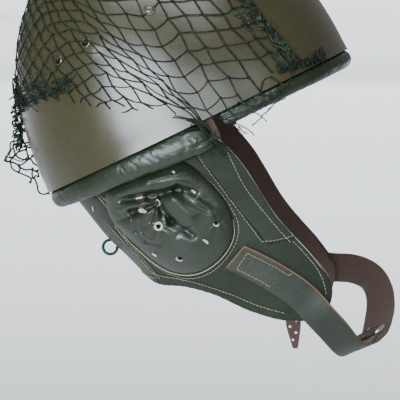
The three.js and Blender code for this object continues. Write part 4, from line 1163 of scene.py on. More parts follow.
def hole_rims(raw):
    """Stretched raw lips of the hearing holes, where the dye has cracked away."""
    rims = []
    for x, z, slope, half_length, half_width, thickness, start, end in HOLE_LIPS:
        closed = end - start == 360
        turn = np.radians(np.linspace(start, end, 33))[:-1 if closed else None]
        lean = math.radians(slope)
        along, across = np.cos(turn) * half_length, np.sin(turn) * half_width
        ring_x = x + along * math.cos(lean) - across * math.sin(lean)
        ring_z = z + along * math.sin(lean) + across * math.cos(lean)
        reach = np.hypot((ring_x - POCKET_CENTRE[0]) / 50, (ring_z - POCKET_CENTRE[1]) / 42)
        rise = pocket_rise(ring_x, ring_z, np.minimum(reach, 0.95))
        ring = beside_skirt(ring_x, ring_z, rise + 0.1)
        radii = thickness * (1 + 0.28 * np.sin(turn * 3 + z))
        if not closed:
            radii = radii * np.sin(np.linspace(0.12, math.pi - 0.12, len(turn))) ** 0.6
        rims.append(tube(ring, radii, 10, joined=closed))
    x, z, half_width, half_height = NAPE_SLIT
    turn = np.linspace(0, 2 * math.pi, SLIT_STEPS + 1)[:-1]
    slit, _ = on_skirt(x + half_width * np.cos(turn), z + half_height * np.sin(turn),
                       np.full(SLIT_STEPS, LEATHER / 2 + 0.2))
    rims.append(tube(slit, 0.38, 8, joined=True))
    points, faces = gather_bodies(rims)
    rim = make_piece("right_hearing_hole_lips", points, faces, [raw])
    pair(rim, None)


# Piping along the foot of the pocket, where the cut edge stands proud
PIPING = [
    (22, -239.5), (33, -249.3), (44, -258.8), (56, -266), (68, -268.6), (80.5, -267), (92.5, -260.5),
    (103, -249.5), (108.2, -237), (107.5, -225),
]


def pocket_piping(raw):
    places, normals = side_line(PIPING, POCKET_SEAT + 1.1)
    radii = 0.5 * np.sin(np.linspace(0.1, math.pi - 0.1, len(places))) ** 0.5
    points, faces = tube(places, radii, 10, up=normals[0])
    piping = make_piece("right_pocket_piping", points, faces, [raw])
    pair(piping, None)


# Seams

THREAD_RADIUS = 0.33
STITCH_PITCH = 2.9
STITCH_SHARE = 0.78


def stitch(start, end, normal, radius):
    """One stitch: a short length of thread that rises from one needle hole and dives into the next."""
    shares = np.array([0.0, 0.12, 0.3, 0.5, 0.7, 0.88, 1.0])
    lift = np.array([-0.5, 0.1, 0.3, 0.36, 0.3, 0.1, -0.5])
    path = start + (end - start) * shares[:, None] + normal * (lift * radius * 2)[:, None]
    radii = radius * np.array([0.6, 0.95, 1.05, 1.0, 1.05, 0.95, 0.6])
    return tube(path, radii, 7, up=normal)


def stitch_row(places, normals, draw, pitch=STITCH_PITCH, radius=THREAD_RADIUS):
    """Stitches along a line of places; normals give the way that the leather faces."""
    both = evenly(np.concatenate([places, normals], axis=1), pitch)
    places, normals = both[:, :3], unit(both[:, 3:])
    bodies = []
    for k in range(len(places) - 1):
        run = places[k + 1] - places[k]
        aside = np.cross(unit(run), normals[k])
        start = places[k] + aside * draw.uniform(-0.16, 0.16)
        end = places[k] + run * STITCH_SHARE + aside * draw.uniform(-0.16, 0.16)
        bodies.append(stitch(start, end, normals[k], radius))
    return bodies


LINE_STEPS = 300
SKIRT_LINE_STEPS = 200


def skirt_line(controls, lift):
    """Places and normals along a curve of along, down control points on the skirt."""
    line = curve_points([(a, d, 0) for a, d in controls], np.linspace(0, 1, SKIRT_LINE_STEPS))
    normal = skirt_normal(line[:, 0], line[:, 1])
    return skirt_point(line[:, 0], line[:, 1]) + normal * lift, normal


def side_line(controls, lift):
    """Places and normals along a curve of x, z control points of the side view."""
    line = curve_points([(x, 0, z) for x, z in controls], np.linspace(0, 1, LINE_STEPS))
    return on_skirt(line[:, 0], line[:, 2], np.full(LINE_STEPS, lift))


ON_FLAP = LEATHER / 2 + 0.12
ON_BAND = LEATHER / 2 + GAP + BAND_LEATHER + 0.3
HEM_DOWN = 0.93


# Seams as x, z points of the side view
POCKET_SEAM = [
    (68.4, -182), (79, -187.2), (89.5, -195), (100.8, -208.1), (108.7, -221.2), (111.8, -230.8),
    (110.5, -240.5), (104, -253), (93.5, -264), (80, -271), (68.4, -272.2), (54.3, -268.6),
    (42.5, -260.6), (32.5, -251.4), (22.8, -242), (14, -232.5),
]
BAND_INNER_SEAM = [(80, -172), (84.2, -179.9), (95.8, -196), (112.7, -219.7), (128.8, -241.9)]
BAND_FOOT_SEAM = [(128.8, -241.9), (140.3, -241.1), (157, -236.8)]
BAND_OUTER_SEAM = [(102.9, -172.6), (115.2, -198), (126, -213.3), (138.5, -229.5), (150.5, -243.5)]
FRONT_SEAM = [(152.5, -242), (162, -252.5), (170.5, -263), (176, -274), (178.5, -285)]
HEM_SEAM = [
    (8, -232), (30, -256), (44, -270.5), (60, -272.8), (77.6, -275.4), (104.7, -283.5), (127.1, -292.7),
    (147, -298.5),
]


def flap_seams(thread):
    draw = random.Random(11)
    bodies = []
    for controls, lift in (
        (POCKET_SEAM, ON_FLAP), (HEM_SEAM, ON_FLAP), (FRONT_SEAM, ON_FLAP), (BAND_INNER_SEAM, ON_BAND),
        (BAND_FOOT_SEAM, ON_BAND), (BAND_OUTER_SEAM, ON_BAND),
    ):
        places, normals = side_line(controls, lift)
        bodies += stitch_row(places, normals, draw)
    for aside in (0.012, 0.03):
        places, normals = skirt_line([
            (NAPE_SEAM + aside, 0.06), (NAPE_SEAM + aside, 0.4), (NAPE_SEAM + aside, 0.94),
        ], ON_FLAP)
        bodies += stitch_row(places, normals, draw)
    points, faces = gather_bodies(bodies)
    seams = make_piece("right_flap_stitching", points, faces, [thread])
    pair(seams, None)
    hem = [(along, HEM_DOWN) for along in (-0.245, -0.12, 0, 0.12, 0.245)]
    places, normals = skirt_line(hem, ON_FLAP)
    points, faces = gather_bodies(stitch_row(places, normals, draw))
    make_piece("nape_hem_stitching", points, faces, [thread])


EDGE_LINE_INSET = 0.013


def front_edge_line(raw):
    """Worn raw edge of the outer leather along the front of each flap, torn wider at the top."""
    downs = (0.03, 0.12, 0.3, 0.45, 0.62, 0.72, 0.85)
    edge = [(front_edge(down) - EDGE_LINE_INSET, down) for down in downs]
    places, normals = skirt_line(edge, LEATHER / 2 + BAND_LEATHER * 0.9)
    shares = np.linspace(0, 1, len(places))
    torn = 0.8 * np.exp(-(shares / 0.2) ** 2) * (0.7 + 0.3 * np.sin(shares * 160))
    radii = (0.3 + torn) * np.clip((1 - shares) / 0.05, 0.3, 1)
    points, faces = tube(places, radii, 10, flatten=0.4, up=normals[0])
    pair(make_piece("right_front_edge_line", points, faces, [raw]), None)


# Chin strap

STRAP_ON_FLAP = LEATHER / 2 + 2 * GAP + STRAP_THICKNESS / 2
# Middle of the strap: x, z where it lies on a flap; x, y, z and the way its face looks where it is free
RIGHT_STRAP = [
    ((109, -254), None), ((121, -260), None), ((132, -266), None), ((143, -273), None),
    ((153, -280), None), ((162, -288), None),
    ((175, -71, -302), (0.1, -0.98, -0.15)), ((185, -62, -314), (0.18, -0.92, -0.3)),
    ((193, -50, -325), (0.25, -0.78, -0.55)), ((198.5, -34, -332), (0.33, -0.42, -0.84)),
    ((204, -17, -332.5), (0.45, -0.1, -0.88)), ((209.5, -4, -328.5), (0.5, 0, -0.86)),
]
LEFT_STRAP = [
    ((109, -254), None), ((121, -259), None), ((133, -264), None), ((145, -269), None),
    ((156, -273), None),
    ((178, 72, -278), (0.08, 1, 0)), ((198, 67, -279), (0.2, 0.97, -0.05)),
    ((212, 58, -284), (0.25, 0.95, -0.15)), ((219, 47, -293), (0.15, 0.92, -0.35)),
    ((221, 36, -304), (0.08, 0.84, -0.52)), ((219.5, 25, -314.5), (0.2, 0.7, -0.68)),
    ((216.5, 13, -324.4), (0.35, 0.49, -0.8)), ((213, 3, -330), (0.48, 0.2, -0.85)),
    ((209.8, -5, -332.5), (0.5, 0.12, -0.86)),
]
STRAP_STEPS = 200
SEWN_SLANT = 0.23                  # the sewn end is cut off at a slant
SEWN_SLANT_REACH = 12.0
FOLD_RADIUS = BUCKLE_WIRE / 2 + GAP + STRAP_THICKNESS / 2
FOLD_TAIL = 10.0
STRAP_EDGE = 1.2
STRAP_EDGE_ROUND = 0.7
CUT_EDGE_RADIUS = 0.8
CUT_EDGE_LENGTH = 136.0
# Box of stitches: mm from the strap's sewn end, and its sides as a share of the strap's width
BOX_START = 6.0
BOX_END_LOWER = 33.0
BOX_END_UPPER = 42.0
BOX_SIDE = 0.33
# Where thread hangs out of the box, and its length
THREAD_ENDS = [
    (BOX_END_LOWER, BOX_SIDE, 4.0), (BOX_END_UPPER, -BOX_SIDE, 5.5), (BOX_END_UPPER, -BOX_SIDE, 3.5),
]


def strap_places(table, side):
    """Places along the middle of a strap, and the way that its face looks at each of them."""
    middles, faces = [], []
    turn = np.array([1.0, -side, 1.0])
    for place, face, *_ in table:
        if face is None:
            x, z = place
            flat, normal = on_skirt(np.array([x]), np.array([z]), np.array([STRAP_ON_FLAP]))
            middles.append(flat[0] * turn)
            faces.append(normal[0] * turn)
        else:
            middles.append(np.array(place, float))
            faces.append(unit(np.array(face, float)))
    return middles, faces


def strap_frames(table, side):
    middles, faces = strap_places(table, side)
    shares = np.linspace(0, 1, STRAP_STEPS + 1)
    middle = curve_points(middles, shares)
    run = unit(np.gradient(middle, axis=0))
    across = unit(np.cross(run, curve_points(faces, shares)))
    face = unit(np.cross(across, run))
    width = STRAP_SEWN_WIDTH + (STRAP_WIDTH - STRAP_SEWN_WIDTH) * np.clip(shares / 0.5, 0, 1)
    slant = SEWN_SLANT * np.clip(1 - path_reach(middle) / SEWN_SLANT_REACH, 0, 1)
    return middle, run, across - run * slant[:, None], face, width


def strap_body(middle, across, face, width, thickness):
    """Flat strap with rounded edges: face, inside and cut edges are labelled apart."""
    columns = np.linspace(-0.5, 0.5, 25)
    columns = np.sign(columns) * (0.5 - (0.5 - np.abs(columns)) ** 1.5 / 0.5 ** 0.5)
    side = columns[None, :, None] * width[:, None, None] * across[:, None]
    edge = (0.5 - np.abs(columns))[None, :] * width[:, None]
    soft = STRAP_EDGE_ROUND * np.clip(1 - edge / STRAP_EDGE, 0, 1) ** 2
    front = middle[:, None] + side + face[:, None] * (thickness / 2 - soft)[..., None]
    back = middle[:, None] + side - face[:, None] * (thickness / 2 - 0.5 * soft)[..., None]
    return slab(front, back)


def chin_straps(leather, flesh, edge, nickel):
    middle, run, across, face, width = strap_frames(RIGHT_STRAP, -1)
    bar_run, bar_across, bar_face = run[-1], across[-1], face[-1]
    bar_centre = middle[-1] - bar_face * FOLD_RADIUS
    turn = np.linspace(0, math.pi, 25)[1:]
    out = bar_face[None] * np.cos(turn)[:, None] + bar_run[None] * np.sin(turn)[:, None]
    fold = bar_centre + out * FOLD_RADIUS
    tail = fold[-1] - bar_run[None] * np.linspace(0.5, FOLD_TAIL, 12)[:, None]
    middle = np.concatenate([middle, fold, tail])
    across = np.concatenate([across, np.repeat(bar_across[None], len(fold) + len(tail), axis=0)])
    face = np.concatenate([face, out, np.repeat(out[-1][None], len(tail), axis=0)])
    width = np.concatenate([width, np.full(len(fold) + len(tail), STRAP_WIDTH)])
    points, faces, labels = strap_body(middle, across, face, width, STRAP_THICKNESS)
    right = make_piece("right_chin_strap_leather", points, faces, [leather, flesh, edge], labels)
    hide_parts("right_chin_strap")
    left_middle, _, left_across, left_face, left_width = strap_frames(LEFT_STRAP, 1)
    points, faces, labels = strap_body(left_middle, left_across, left_face, left_width, STRAP_THICKNESS)
    left = make_piece("left_chin_strap_leather", points, faces, [leather, flesh, edge], labels)
    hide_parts("left_chin_strap")
    buckle(bar_centre, bar_run, bar_across, bar_face, nickel)


def buckle(centre, run, across, face, nickel):
    """Wire buckle bent from drawn wire, with a prong looped from thinner wire."""
    path = []
    for side, end, start in ((1, 0, -90), (1, 1, 0), (-1, 1, 90), (-1, 0, 180)):
        corner_across = side * (BUCKLE_WIDTH / 2 - BUCKLE_CORNER)
        corner_along = end * (BUCKLE_LENGTH - BUCKLE_CORNER) + (1 - end) * BUCKLE_CORNER
        for k in range(10):
            turn = math.radians(start + 10 * k)
            path.append(centre + across * (corner_across + BUCKLE_CORNER * math.cos(turn))
                        + run * (corner_along + BUCKLE_CORNER * math.sin(turn)))
    points, faces = tube(path, BUCKLE_WIRE / 2, 20, joined=True, up=face)
    frame_piece = make_piece("buckle_wire_frame", points, faces, [nickel])
    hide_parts("buckle_frame")
    start = centre + run * (FOLD_RADIUS + STRAP_THICKNESS / 2 + GAP + 0.2)
    end = centre + run * (BUCKLE_LENGTH + 2.0) - face * (BUCKLE_WIRE / 2 + 0.54 + PRONG_RADIUS)
    shares = np.linspace(0, 1, 12)
    path = start + (end - start) * shares[:, None] - face * (0.35 * np.sin(shares * math.pi))[:, None]
    points, faces = tube(path, PRONG_RADIUS * (1 - 0.45 * shares ** 3), 16, up=across)
    prong = make_piece("buckle_wire_prong", points, faces, [nickel])
    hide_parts("buckle_prong")


def strap_edge_lines(raw):
    """Pale cut edge of the thick strap, seen along its sewn end and its upper side."""
    for name, table, side in (
        ("right_strap_cut_edge", RIGHT_STRAP, -1), ("left_strap_cut_edge", LEFT_STRAP, 1),
    ):
        middle, _, across, face, width = strap_frames(table, side)
        upper = 0.5 * side
        over = face * (STRAP_THICKNESS / 2 - CUT_EDGE_RADIUS * 0.7)
        shares = np.linspace(-upper, upper, 30)[:-1, None]
        end = middle[0] + across[0] * shares * width[0] + over[0]
        length = path_reach(middle) < CUT_EDGE_LENGTH
        top = middle[length] + across[length] * (upper * width[length])[:, None] + over[length]
        path = np.concatenate([end, top])
        share = np.linspace(0, 1, len(path))
        radii = CUT_EDGE_RADIUS * np.clip((1 - share) / 0.2, 0.2, 1) * np.clip(share / 0.02, 0.4, 1)
        points, faces = tube(path, radii, 10, up=face[0])
        make_piece(name, points, faces, [raw])


def strap_seams(ochre):
    """Box of ochre stitches that holds the strap's sewn end, open at the front, with thread tails."""
    draw = random.Random(5)
    middle, _, across, face, width = strap_frames(RIGHT_STRAP, -1)
    reach = path_reach(middle)
    over = STRAP_THICKNESS / 2 + 0.12

    def on_strap(along, share):
        place = along_line(middle + across * (share * width)[:, None], reach, along)
        normal = unit(along_line(face, reach, along))
        return place + normal * over, normal

    bodies = []
    corners = [
        (BOX_END_LOWER, BOX_SIDE), (BOX_START, BOX_SIDE),
        (BOX_START, -BOX_SIDE), (BOX_END_UPPER, -BOX_SIDE),
    ]
    for (along0, share0), (along1, share1) in zip(corners, corners[1:]):
        spots = [
            on_strap(along0 + (along1 - along0) * t, share0 + (share1 - share0) * t)
            for t in np.linspace(0, 1, 40)
        ]
        places, normals = (np.array(column) for column in zip(*spots))
        bodies += stitch_row(places, normals, draw, pitch=3.0, radius=0.34)
    for along, share, length in THREAD_ENDS:
        spot, normal = on_strap(along, share)
        ahead, _ = on_strap(along + length * draw.uniform(-0.4, 0.9), share + draw.uniform(-0.14, 0.14))
        middle_spot = (spot + ahead) / 2 + normal * 0.8
        bodies.append(tube(curve_points([spot, middle_spot, ahead], np.linspace(0, 1, 8)), 0.36, 8))
    points, faces = gather_bodies(bodies)
    seam = make_piece("right_strap_stitching", points, faces, [ochre])
    mirror_piece(seam, "left_strap_stitching")


# Perforated free end on the left flap

# Middle of the free end as for the straps, and its width
TAIL_ROWS = [
    ((146, -289), None, 15.0), ((147, -299), None, 15.0),
    ((148, 74.2, -308), (0, 1, 0), 15.0), ((149, 73.5, -328), (0, 1, 0), 12.0),
    ((150, 73.0, -340), (0, 1, 0), 7.0), ((150.5, 73.0, -346), (0, 1, 0), 4.0),
]
TAIL_HOLES = [(145, -319), (151, -323), (146, -328), (151, -333), (148.5, -339)]


def strap_tail(leather, flesh, edge):
    middles, faces = strap_places(TAIL_ROWS, 1)
    widths = [width for _, _, width in TAIL_ROWS]
    shares = np.linspace(0, 1, 60)
    middle = curve_points(middles, shares)
    marks = np.linspace(0, 1, len(widths))
    face = unit(np.stack([np.interp(shares, marks, column) for column in np.array(faces).T], axis=-1))
    width = np.interp(shares, marks, widths)
    forward = np.array([1.0, 0.0, 0.0])
    across = unit(forward[None] - face * (face @ forward)[:, None])
    points, body, labels = strap_body(middle, across, face, width, LEATHER)
    tail = make_piece("left_strap_tail_leather", points, body, [leather, flesh, edge], labels)
    pins = []
    for x, z in TAIL_HOLES:
        pins.append(tube([(x, 60, z), (x, 86, z)], 1.1, 16))
    punch(tail, pins)
    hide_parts("left_strap_tail")


# Cord loop at the nape, open where it goes behind the curtain

CORD_LOOP_DOWN = 0.56
CORD_LOOP_RADIUS = 5.7
CORD_LOOP_STAND = 4.6
CORD_LOOP_RISE = 0.6
CORD_LOOP_TURN = (42, 318)
CORD_LOOP_STEPS = 60
CORD_TWISTS = 7
CORD_STRANDS = 3
CORD_STRAND_RADIUS = 0.8
CORD_STRAND_OFFSET = 0.5


def cord_loop(cord):
    seat = skirt_point(np.array([0.0]), CORD_LOOP_DOWN)[0]
    normal = skirt_normal(np.array([0.0]), CORD_LOOP_DOWN)[0]
    aside = np.array([0.0, 1.0, 0.0])
    side = unit(np.cross(normal, aside))
    stand = LEATHER / 2 + CORD_LOOP_STAND
    centre = seat + normal * stand + np.array([0.0, 0.0, CORD_LOOP_RISE])
    turn = np.radians(np.linspace(*CORD_LOOP_TURN, CORD_LOOP_STEPS))
    out = -normal[None] * np.cos(turn)[:, None] + side[None] * np.sin(turn)[:, None]
    path = centre + out * CORD_LOOP_RADIUS
    strands = []
    for k in range(CORD_STRANDS):
        twist = 2 * math.pi * (np.linspace(0, CORD_TWISTS, CORD_LOOP_STEPS) + k / CORD_STRANDS)
        offset = out * np.cos(twist)[:, None] + aside * np.sin(twist)[:, None]
        strands.append(tube(path + offset * CORD_STRAND_OFFSET, CORD_STRAND_RADIUS, 10))
    points, faces = gather_bodies(strands)
    loop = make_piece("nape_loop_laid_cord", points, faces, [cord])
    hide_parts("nape_cord_loop")


# Camouflage net

TWINE_RADIUS = 0.52
TWINE_SIDES = 5
LINK_STEPS = 4
KNOT_RADIUS = 1.0
KNOT_SIDES = 6
KNOT_LEVELS = (0.7, 0.0, -0.7)
NET_LIFT = 0.75
# Knots stand this far to the front and to the back of their strand, in turn
KNOT_SWAY = 0.8
# Points of a short bit of twine, as shares of its length from its middle
BIT_SHARES = (-0.5, -0.2, 0.15, 0.5)
# One row for each main strand of the wearer's right half, from the front border to the back:
# u where it crosses the middle plane, u at two fifths of its height, u and v of its foot, and the
# height at which one and the same row of knots crosses it
NET_STRANDS = [
    (66, 83, 98, 5, 48),
    (63, 80, 95, 5, 50),
    (59, 76, 90, 6, 49),
    (53, 69, 83, 7, 52),
    (42, 58, 75, 9, 52),
    (27, 49, 61, -1, 57),
    (14, 35, 46, -1, 63),
    (3, 24, 33, -2, 67),
    (-5, 10, 22, -2, 63),
    (-17, -2, 12, 0, 70),
    (-27, -11, 11, 1, 79),
    (-36, -17, 9, 2, 89),
    (-45, -27, -3, 13, 105),
    (-53, -37, -17, 24, 112),
    (-59, -45, -28, 28, 116),
    (-64, -54, -36, 35, 118),
    (-71, -62.5, -47, 38, 117),
    (-79, -72, -60, 46, 114),
    (-87, -81, -71, 54, 110),
    (-95, -89, -82, 61, 105),
    (-102, -97, -92, 65, 100),
    (-108.5, -105, -102, 67, 95),
    (-114.5, -113, -111, 68, 90),
    (-120, -119, -118, 66, 82),
]
# The meshes are drawn narrow from the first of these strands to the second
NARROWING_STRANDS = (9, 14)
MESH_FRONT = 14.5
MESH_BACK = 12.0
# Strands whose knots lie less evenly, and how far knots stray
LOOSE_STRANDS = range(13, 18)
LOOSE_STRAY = 1.8
KNOT_STRAY = 1.0
MOST_KNOTS = 30


def on_dome(points, lift):
    """Points of the shell frame laid on the outside of the steel, or on a wall below its rim."""
    points = np.asarray(points, float)
    u, w, v = points[..., 0], points[..., 1], points[..., 2]
    high = np.maximum(v, 0)
    spread = np.maximum(np.hypot(u / SHELL_HALF_LENGTH, w / SHELL_HALF_WIDTH), 1e-6)
    size = (spread ** SHELL_FULLNESS + (high / SHELL_HEIGHT) ** SHELL_FULLNESS) ** (1 / SHELL_FULLNESS)
    laid = np.stack([u / size, w / size, np.where(v > 0, v / size, v)], axis=-1)
    u, w, high = laid[..., 0], laid[..., 1], np.maximum(laid[..., 2], 0)
    spread = np.maximum(np.hypot(u / SHELL_HALF_LENGTH, w / SHELL_HALF_WIDTH), 1e-6)
    slope = spread ** (SHELL_FULLNESS - 2)
    normal = unit(np.stack([
        slope * u / SHELL_HALF_LENGTH ** 2, slope * w / SHELL_HALF_WIDTH ** 2,
        high ** (SHELL_FULLNESS - 1) / SHELL_HEIGHT ** SHELL_FULLNESS,
    ], axis=-1))
    return laid + normal * np.asarray(lift, float)[..., None]


def shell_to_model(points):
    return from_shell(points[..., 0], points[..., 1], points[..., 2])


def strand_line(row):
    """Main strand from the middle plane to its foot, with the distance along it."""
    crown, middle, foot_u, foot_v, _ = row
    top_v = SHELL_HEIGHT * (1 - abs(crown / SHELL_HALF_LENGTH) ** SHELL_FULLNESS) ** (1 / SHELL_FULLNESS)
    mid_v = foot_v + 0.4 * (top_v - foot_v)
    v = top_v + (foot_v - top_v) * np.linspace(0, 1, 240) ** 2
    u = (crown * (v - mid_v) * (v - foot_v) / ((top_v - mid_v) * (top_v - foot_v))
         + middle * (v - top_v) * (v - foot_v) / ((mid_v - top_v) * (mid_v - foot_v))
         + foot_u * (v - top_v) * (v - mid_v) / ((foot_v - top_v) * (foot_v - mid_v)))
    spread = (1 - (np.maximum(v, 0) / SHELL_HEIGHT) ** SHELL_FULLNESS) ** (1 / SHELL_FULLNESS)
    w = -SHELL_HALF_WIDTH * np.sqrt(np.maximum(spread ** 2 - (u / SHELL_HALF_LENGTH) ** 2, 0))
    line = np.stack([u, w, v], axis=-1)
    return line, path_reach(line)


def twine(points, radius, lift):
    """Length of twine through points of the shell frame, laid on the steel."""
    laid = on_dome(points, np.broadcast_to(lift, (len(points),)))
    return tube(shell_to_model(laid), radius, TWINE_SIDES)


def knot(centre, radius, draw):
    """Sheet bend at a corner of a mesh, as a small lump of uneven shape."""
    turn = np.arange(KNOT_SIDES) / KNOT_SIDES * 2 * math.pi
    stretch = np.array([draw.uniform(0.85, 1.25) for _ in range(3)])
    pole = np.array([0, 0, radius])
    rings = []
    for height in KNOT_LEVELS:
        wide = math.sqrt(1 - height * height)
        ring = np.stack([np.cos(turn + height) * wide, np.sin(turn + height) * wide,
                         np.full(KNOT_SIDES, height)], axis=-1)
        rings.append(centre + ring * radius * stretch)
    points = np.concatenate(rings + [[centre + pole], [centre - pole]])
    faces = quads(len(KNOT_LEVELS), KNOT_SIDES, 0, True)
    top = len(KNOT_LEVELS) * KNOT_SIDES
    last = top - KNOT_SIDES
    for c in range(KNOT_SIDES):
        d = (c + 1) % KNOT_SIDES
        faces.append((top, c, d))
        faces.append((top + 1, last + d, last + c))
    return points, faces


def link(start, end, sag, wander, draw):
    """Twine between two knots, slack by a share of its length."""
    shares = np.linspace(0, 1, LINK_STEPS + 1)[:, None]
    length = np.linalg.norm(end - start)
    bow = np.sin(shares * math.pi)
    path = start + (end - start) * shares
    path = path + bow * np.array([
        draw.uniform(-wander, wander) * length, draw.uniform(-wander, wander) * length * 0.5,
        -sag * length,
    ])
    lift = NET_LIFT + 0.25 * bow[:, 0] * draw.uniform(0, 1)
    return twine(path, TWINE_RADIUS * draw.uniform(0.85, 1.12), lift)


# Thickness of a cut end along its length, as a share of the twine's
FRAYED = np.array([1, 1, 1, 0.95, 0.9, 0.7, 0.3])


def loose_end(start, aim, length, draw, curl=0.5, radius=TWINE_RADIUS):
    """Cut end of twine that curls away and thins to a frayed point."""
    steps = len(FRAYED) - 1
    path = [np.array(start, float)]
    heading = unit(np.array(aim, float))
    for _ in range(steps):
        stray = [draw.uniform(-curl, curl), draw.uniform(-curl, curl) * 0.4, draw.uniform(-curl, curl)]
        heading = unit(heading + np.array(stray))
        path.append(path[-1] + heading * length / steps)
    lift = NET_LIFT + np.linspace(0, 1, steps + 1) * draw.uniform(0.2, 2.2)
    return twine(np.array(path), radius * FRAYED, lift)


def strand_knots(number, row, draw):
    """Line, knots and mesh of a main strand. Knots are counted from the row that all strands share."""
    line, reach = strand_line(row)
    mesh = float(np.interp(number, NARROWING_STRANDS, (MESH_FRONT, MESH_BACK)))
    shared_at = float(np.interp(-row[4], -line[:, 2], reach))
    stray = LOOSE_STRAY if number in LOOSE_STRANDS else KNOT_STRAY
    knots = {}
    for n in range(-int(shared_at // mesh), MOST_KNOTS):
        at = shared_at + n * mesh
        if at > reach[-1] - 2:
            break
        sway = KNOT_SWAY if (n + number) % 2 else -KNOT_SWAY
        aside = np.array([sway + draw.uniform(-stray, stray), 0, draw.uniform(-stray, stray)])
        knots[n] = (along_line(line, reach, at) + aside, at)
    return line, knots, mesh


def tie_strand(strand, turn, draw):
    """One main strand with its knots, from the middle plane down."""
    line, knots, _ = strand
    bodies = []
    start = line[0] * turn
    for n in sorted(knots):
        place = knots[n][0] * turn
        bodies.append(link(start, place, 0.01, 0.03, draw))
        centre = shell_to_model(on_dome(place, NET_LIFT + 0.15))
        bodies.append(knot(centre, KNOT_RADIUS * draw.uniform(0.8, 1.1), draw))
        start = place
    bodies.append(link(start, line[-1] * turn, 0.0, 0.04, draw))
    return bodies


def tie_to_crown(strand, neighbour, n, turn, draw):
    """Link from a strand's knot to the middle plane, where its neighbour has no knot."""
    line, knots, _ = strand
    next_line, _, next_mesh = neighbour
    place, at = knots[n]
    meet = line[0] + (next_line[0] - line[0]) * at / (at + next_mesh * 0.5)
    return link(place * turn, meet * turn, 0.03, 0.04, draw)


def tie_across(strand, neighbour, turn, draw):
    """Links from one strand to the next. Past the last knot of the next, the twine often hangs cut."""
    knots, ahead = strand[1], neighbour[1]
    bodies = []
    for n in sorted(knots):
        place = knots[n][0] * turn
        if n in ahead:
            bodies.append(link(place, ahead[n][0] * turn, draw.uniform(0.0, 0.14), 0.05, draw))
        elif n < min(ahead):
            bodies.append(tie_to_crown(strand, neighbour, n, turn, draw))
        elif draw.random() < 0.7:
            aim = ahead[max(ahead)][0] * turn - place + np.array([0, 0, -6.0])
            bodies.append(loose_end(place, aim, draw.uniform(5, 10), draw))
    for n in sorted(ahead):
        if n < min(knots):
            bodies.append(tie_to_crown(neighbour, strand, n, turn, draw))
    return bodies


def net_side(side, draw):
    """Meshes of one half of the net; side is 1 on the wearer's right and -1 on the left."""
    turn = np.array([1.0, side, 1.0])
    strands = [strand_knots(number, row, draw) for number, row in enumerate(NET_STRANDS)]
    bodies = []
    for strand, neighbour in zip(strands, strands[1:] + [None]):
        bodies += tie_strand(strand, turn, draw)
        if neighbour:
            bodies += tie_across(strand, neighbour, turn, draw)
    return bodies


BORDER_BITS = 190
BORDER_REACH = (-28, 1.5, -3)      # mm in front of the first strand: least, most and likeliest


def rim_side(u):
    """How far to the side the rim of the steel lies at u, on the wearer's right."""
    return -SHELL_HALF_WIDTH * math.sqrt(max(0.0, 1 - (u / SHELL_HALF_LENGTH) ** 2))


def net_border(side, draw):
    """Front border: several rows of meshes run together into one thick, fuzzy edge."""
    turn = np.array([1.0, side, 1.0])
    line, reach = strand_line(NET_STRANDS[0])
    bodies = []
    for _ in range(BORDER_BITS):
        at = draw.uniform(0, reach[-1])
        aside = np.array([draw.triangular(*BORDER_REACH), 0, draw.gauss(0, 2)])
        heart = along_line(line, reach, at) + aside
        length = draw.uniform(6, 16)
        lean = draw.gauss(-0.8, 0.9)
        ahead = np.array([math.cos(lean), 0, math.sin(lean)]) * length
        path = [
            heart + ahead * share + np.array([draw.uniform(-1.5, 1.5), 0, draw.uniform(-1.5, 1.5)])
            for share in BIT_SHARES
        ]
        bodies.append(twine(np.array(path) * turn, TWINE_RADIUS * 0.6, NET_LIFT + draw.uniform(0, 1.8)))
        if draw.random() < 0.5:
            centre = on_dome(np.array(path[1]) * turn, 1.2)
            bodies.append(knot(shell_to_model(centre), KNOT_RADIUS * draw.uniform(0.7, 1.1), draw))
    return bodies


# Tuft where the border is caught between the steel and the brow roll: u and v along it
TUFT_LINE = [(80, 9), (88, 8), (95, 6), (102, 4.5), (108, 5), (113.5, 5)]
TUFT_PLACES = 30
TUFT_HEART = 111                   # u at which the tuft is widest


def net_tuft(side, draw):
    """Snarl of knots and cut ends at the foot of the border."""
    turn = np.array([1.0, side, 1.0])
    bodies = []
    places = curve_points([(u, 0, v) for u, v in TUFT_LINE], np.linspace(0, 1, TUFT_PLACES))
    for u, _, v in places:
        heart = np.array([u, rim_side(u), v])
        spread = 2.2 + 1.8 * math.exp(-((u - TUFT_HEART) / 5) ** 2)
        for _ in range(2):
            path = [
                heart + np.array([draw.gauss(0, spread), 0, draw.gauss(0, spread * 0.8)])
                for _ in range(4)
            ]
            path = curve_points(path, np.linspace(0, 1, 8))
            lift = NET_LIFT + draw.uniform(0, 3.2)
            bodies.append(twine(path * turn, TWINE_RADIUS * 0.9, lift))
        if draw.random() < 0.6:
            centre = on_dome(heart * turn, draw.uniform(1, 2.5))
            bodies.append(knot(shell_to_model(centre), KNOT_RADIUS * draw.uniform(0.9, 1.4), draw))
    return bodies


# Where the drawn strands meet and run down over the end of the nape roll to the flap: u and v
GATHER_LINE = [(-6, 12), (4, 5), (9, 1), (11, -5), (13, -13), (15, -20), (17, -26), (19, -29)]


GATHERED_STRANDS = 8
GATHERED_ENDS = 16


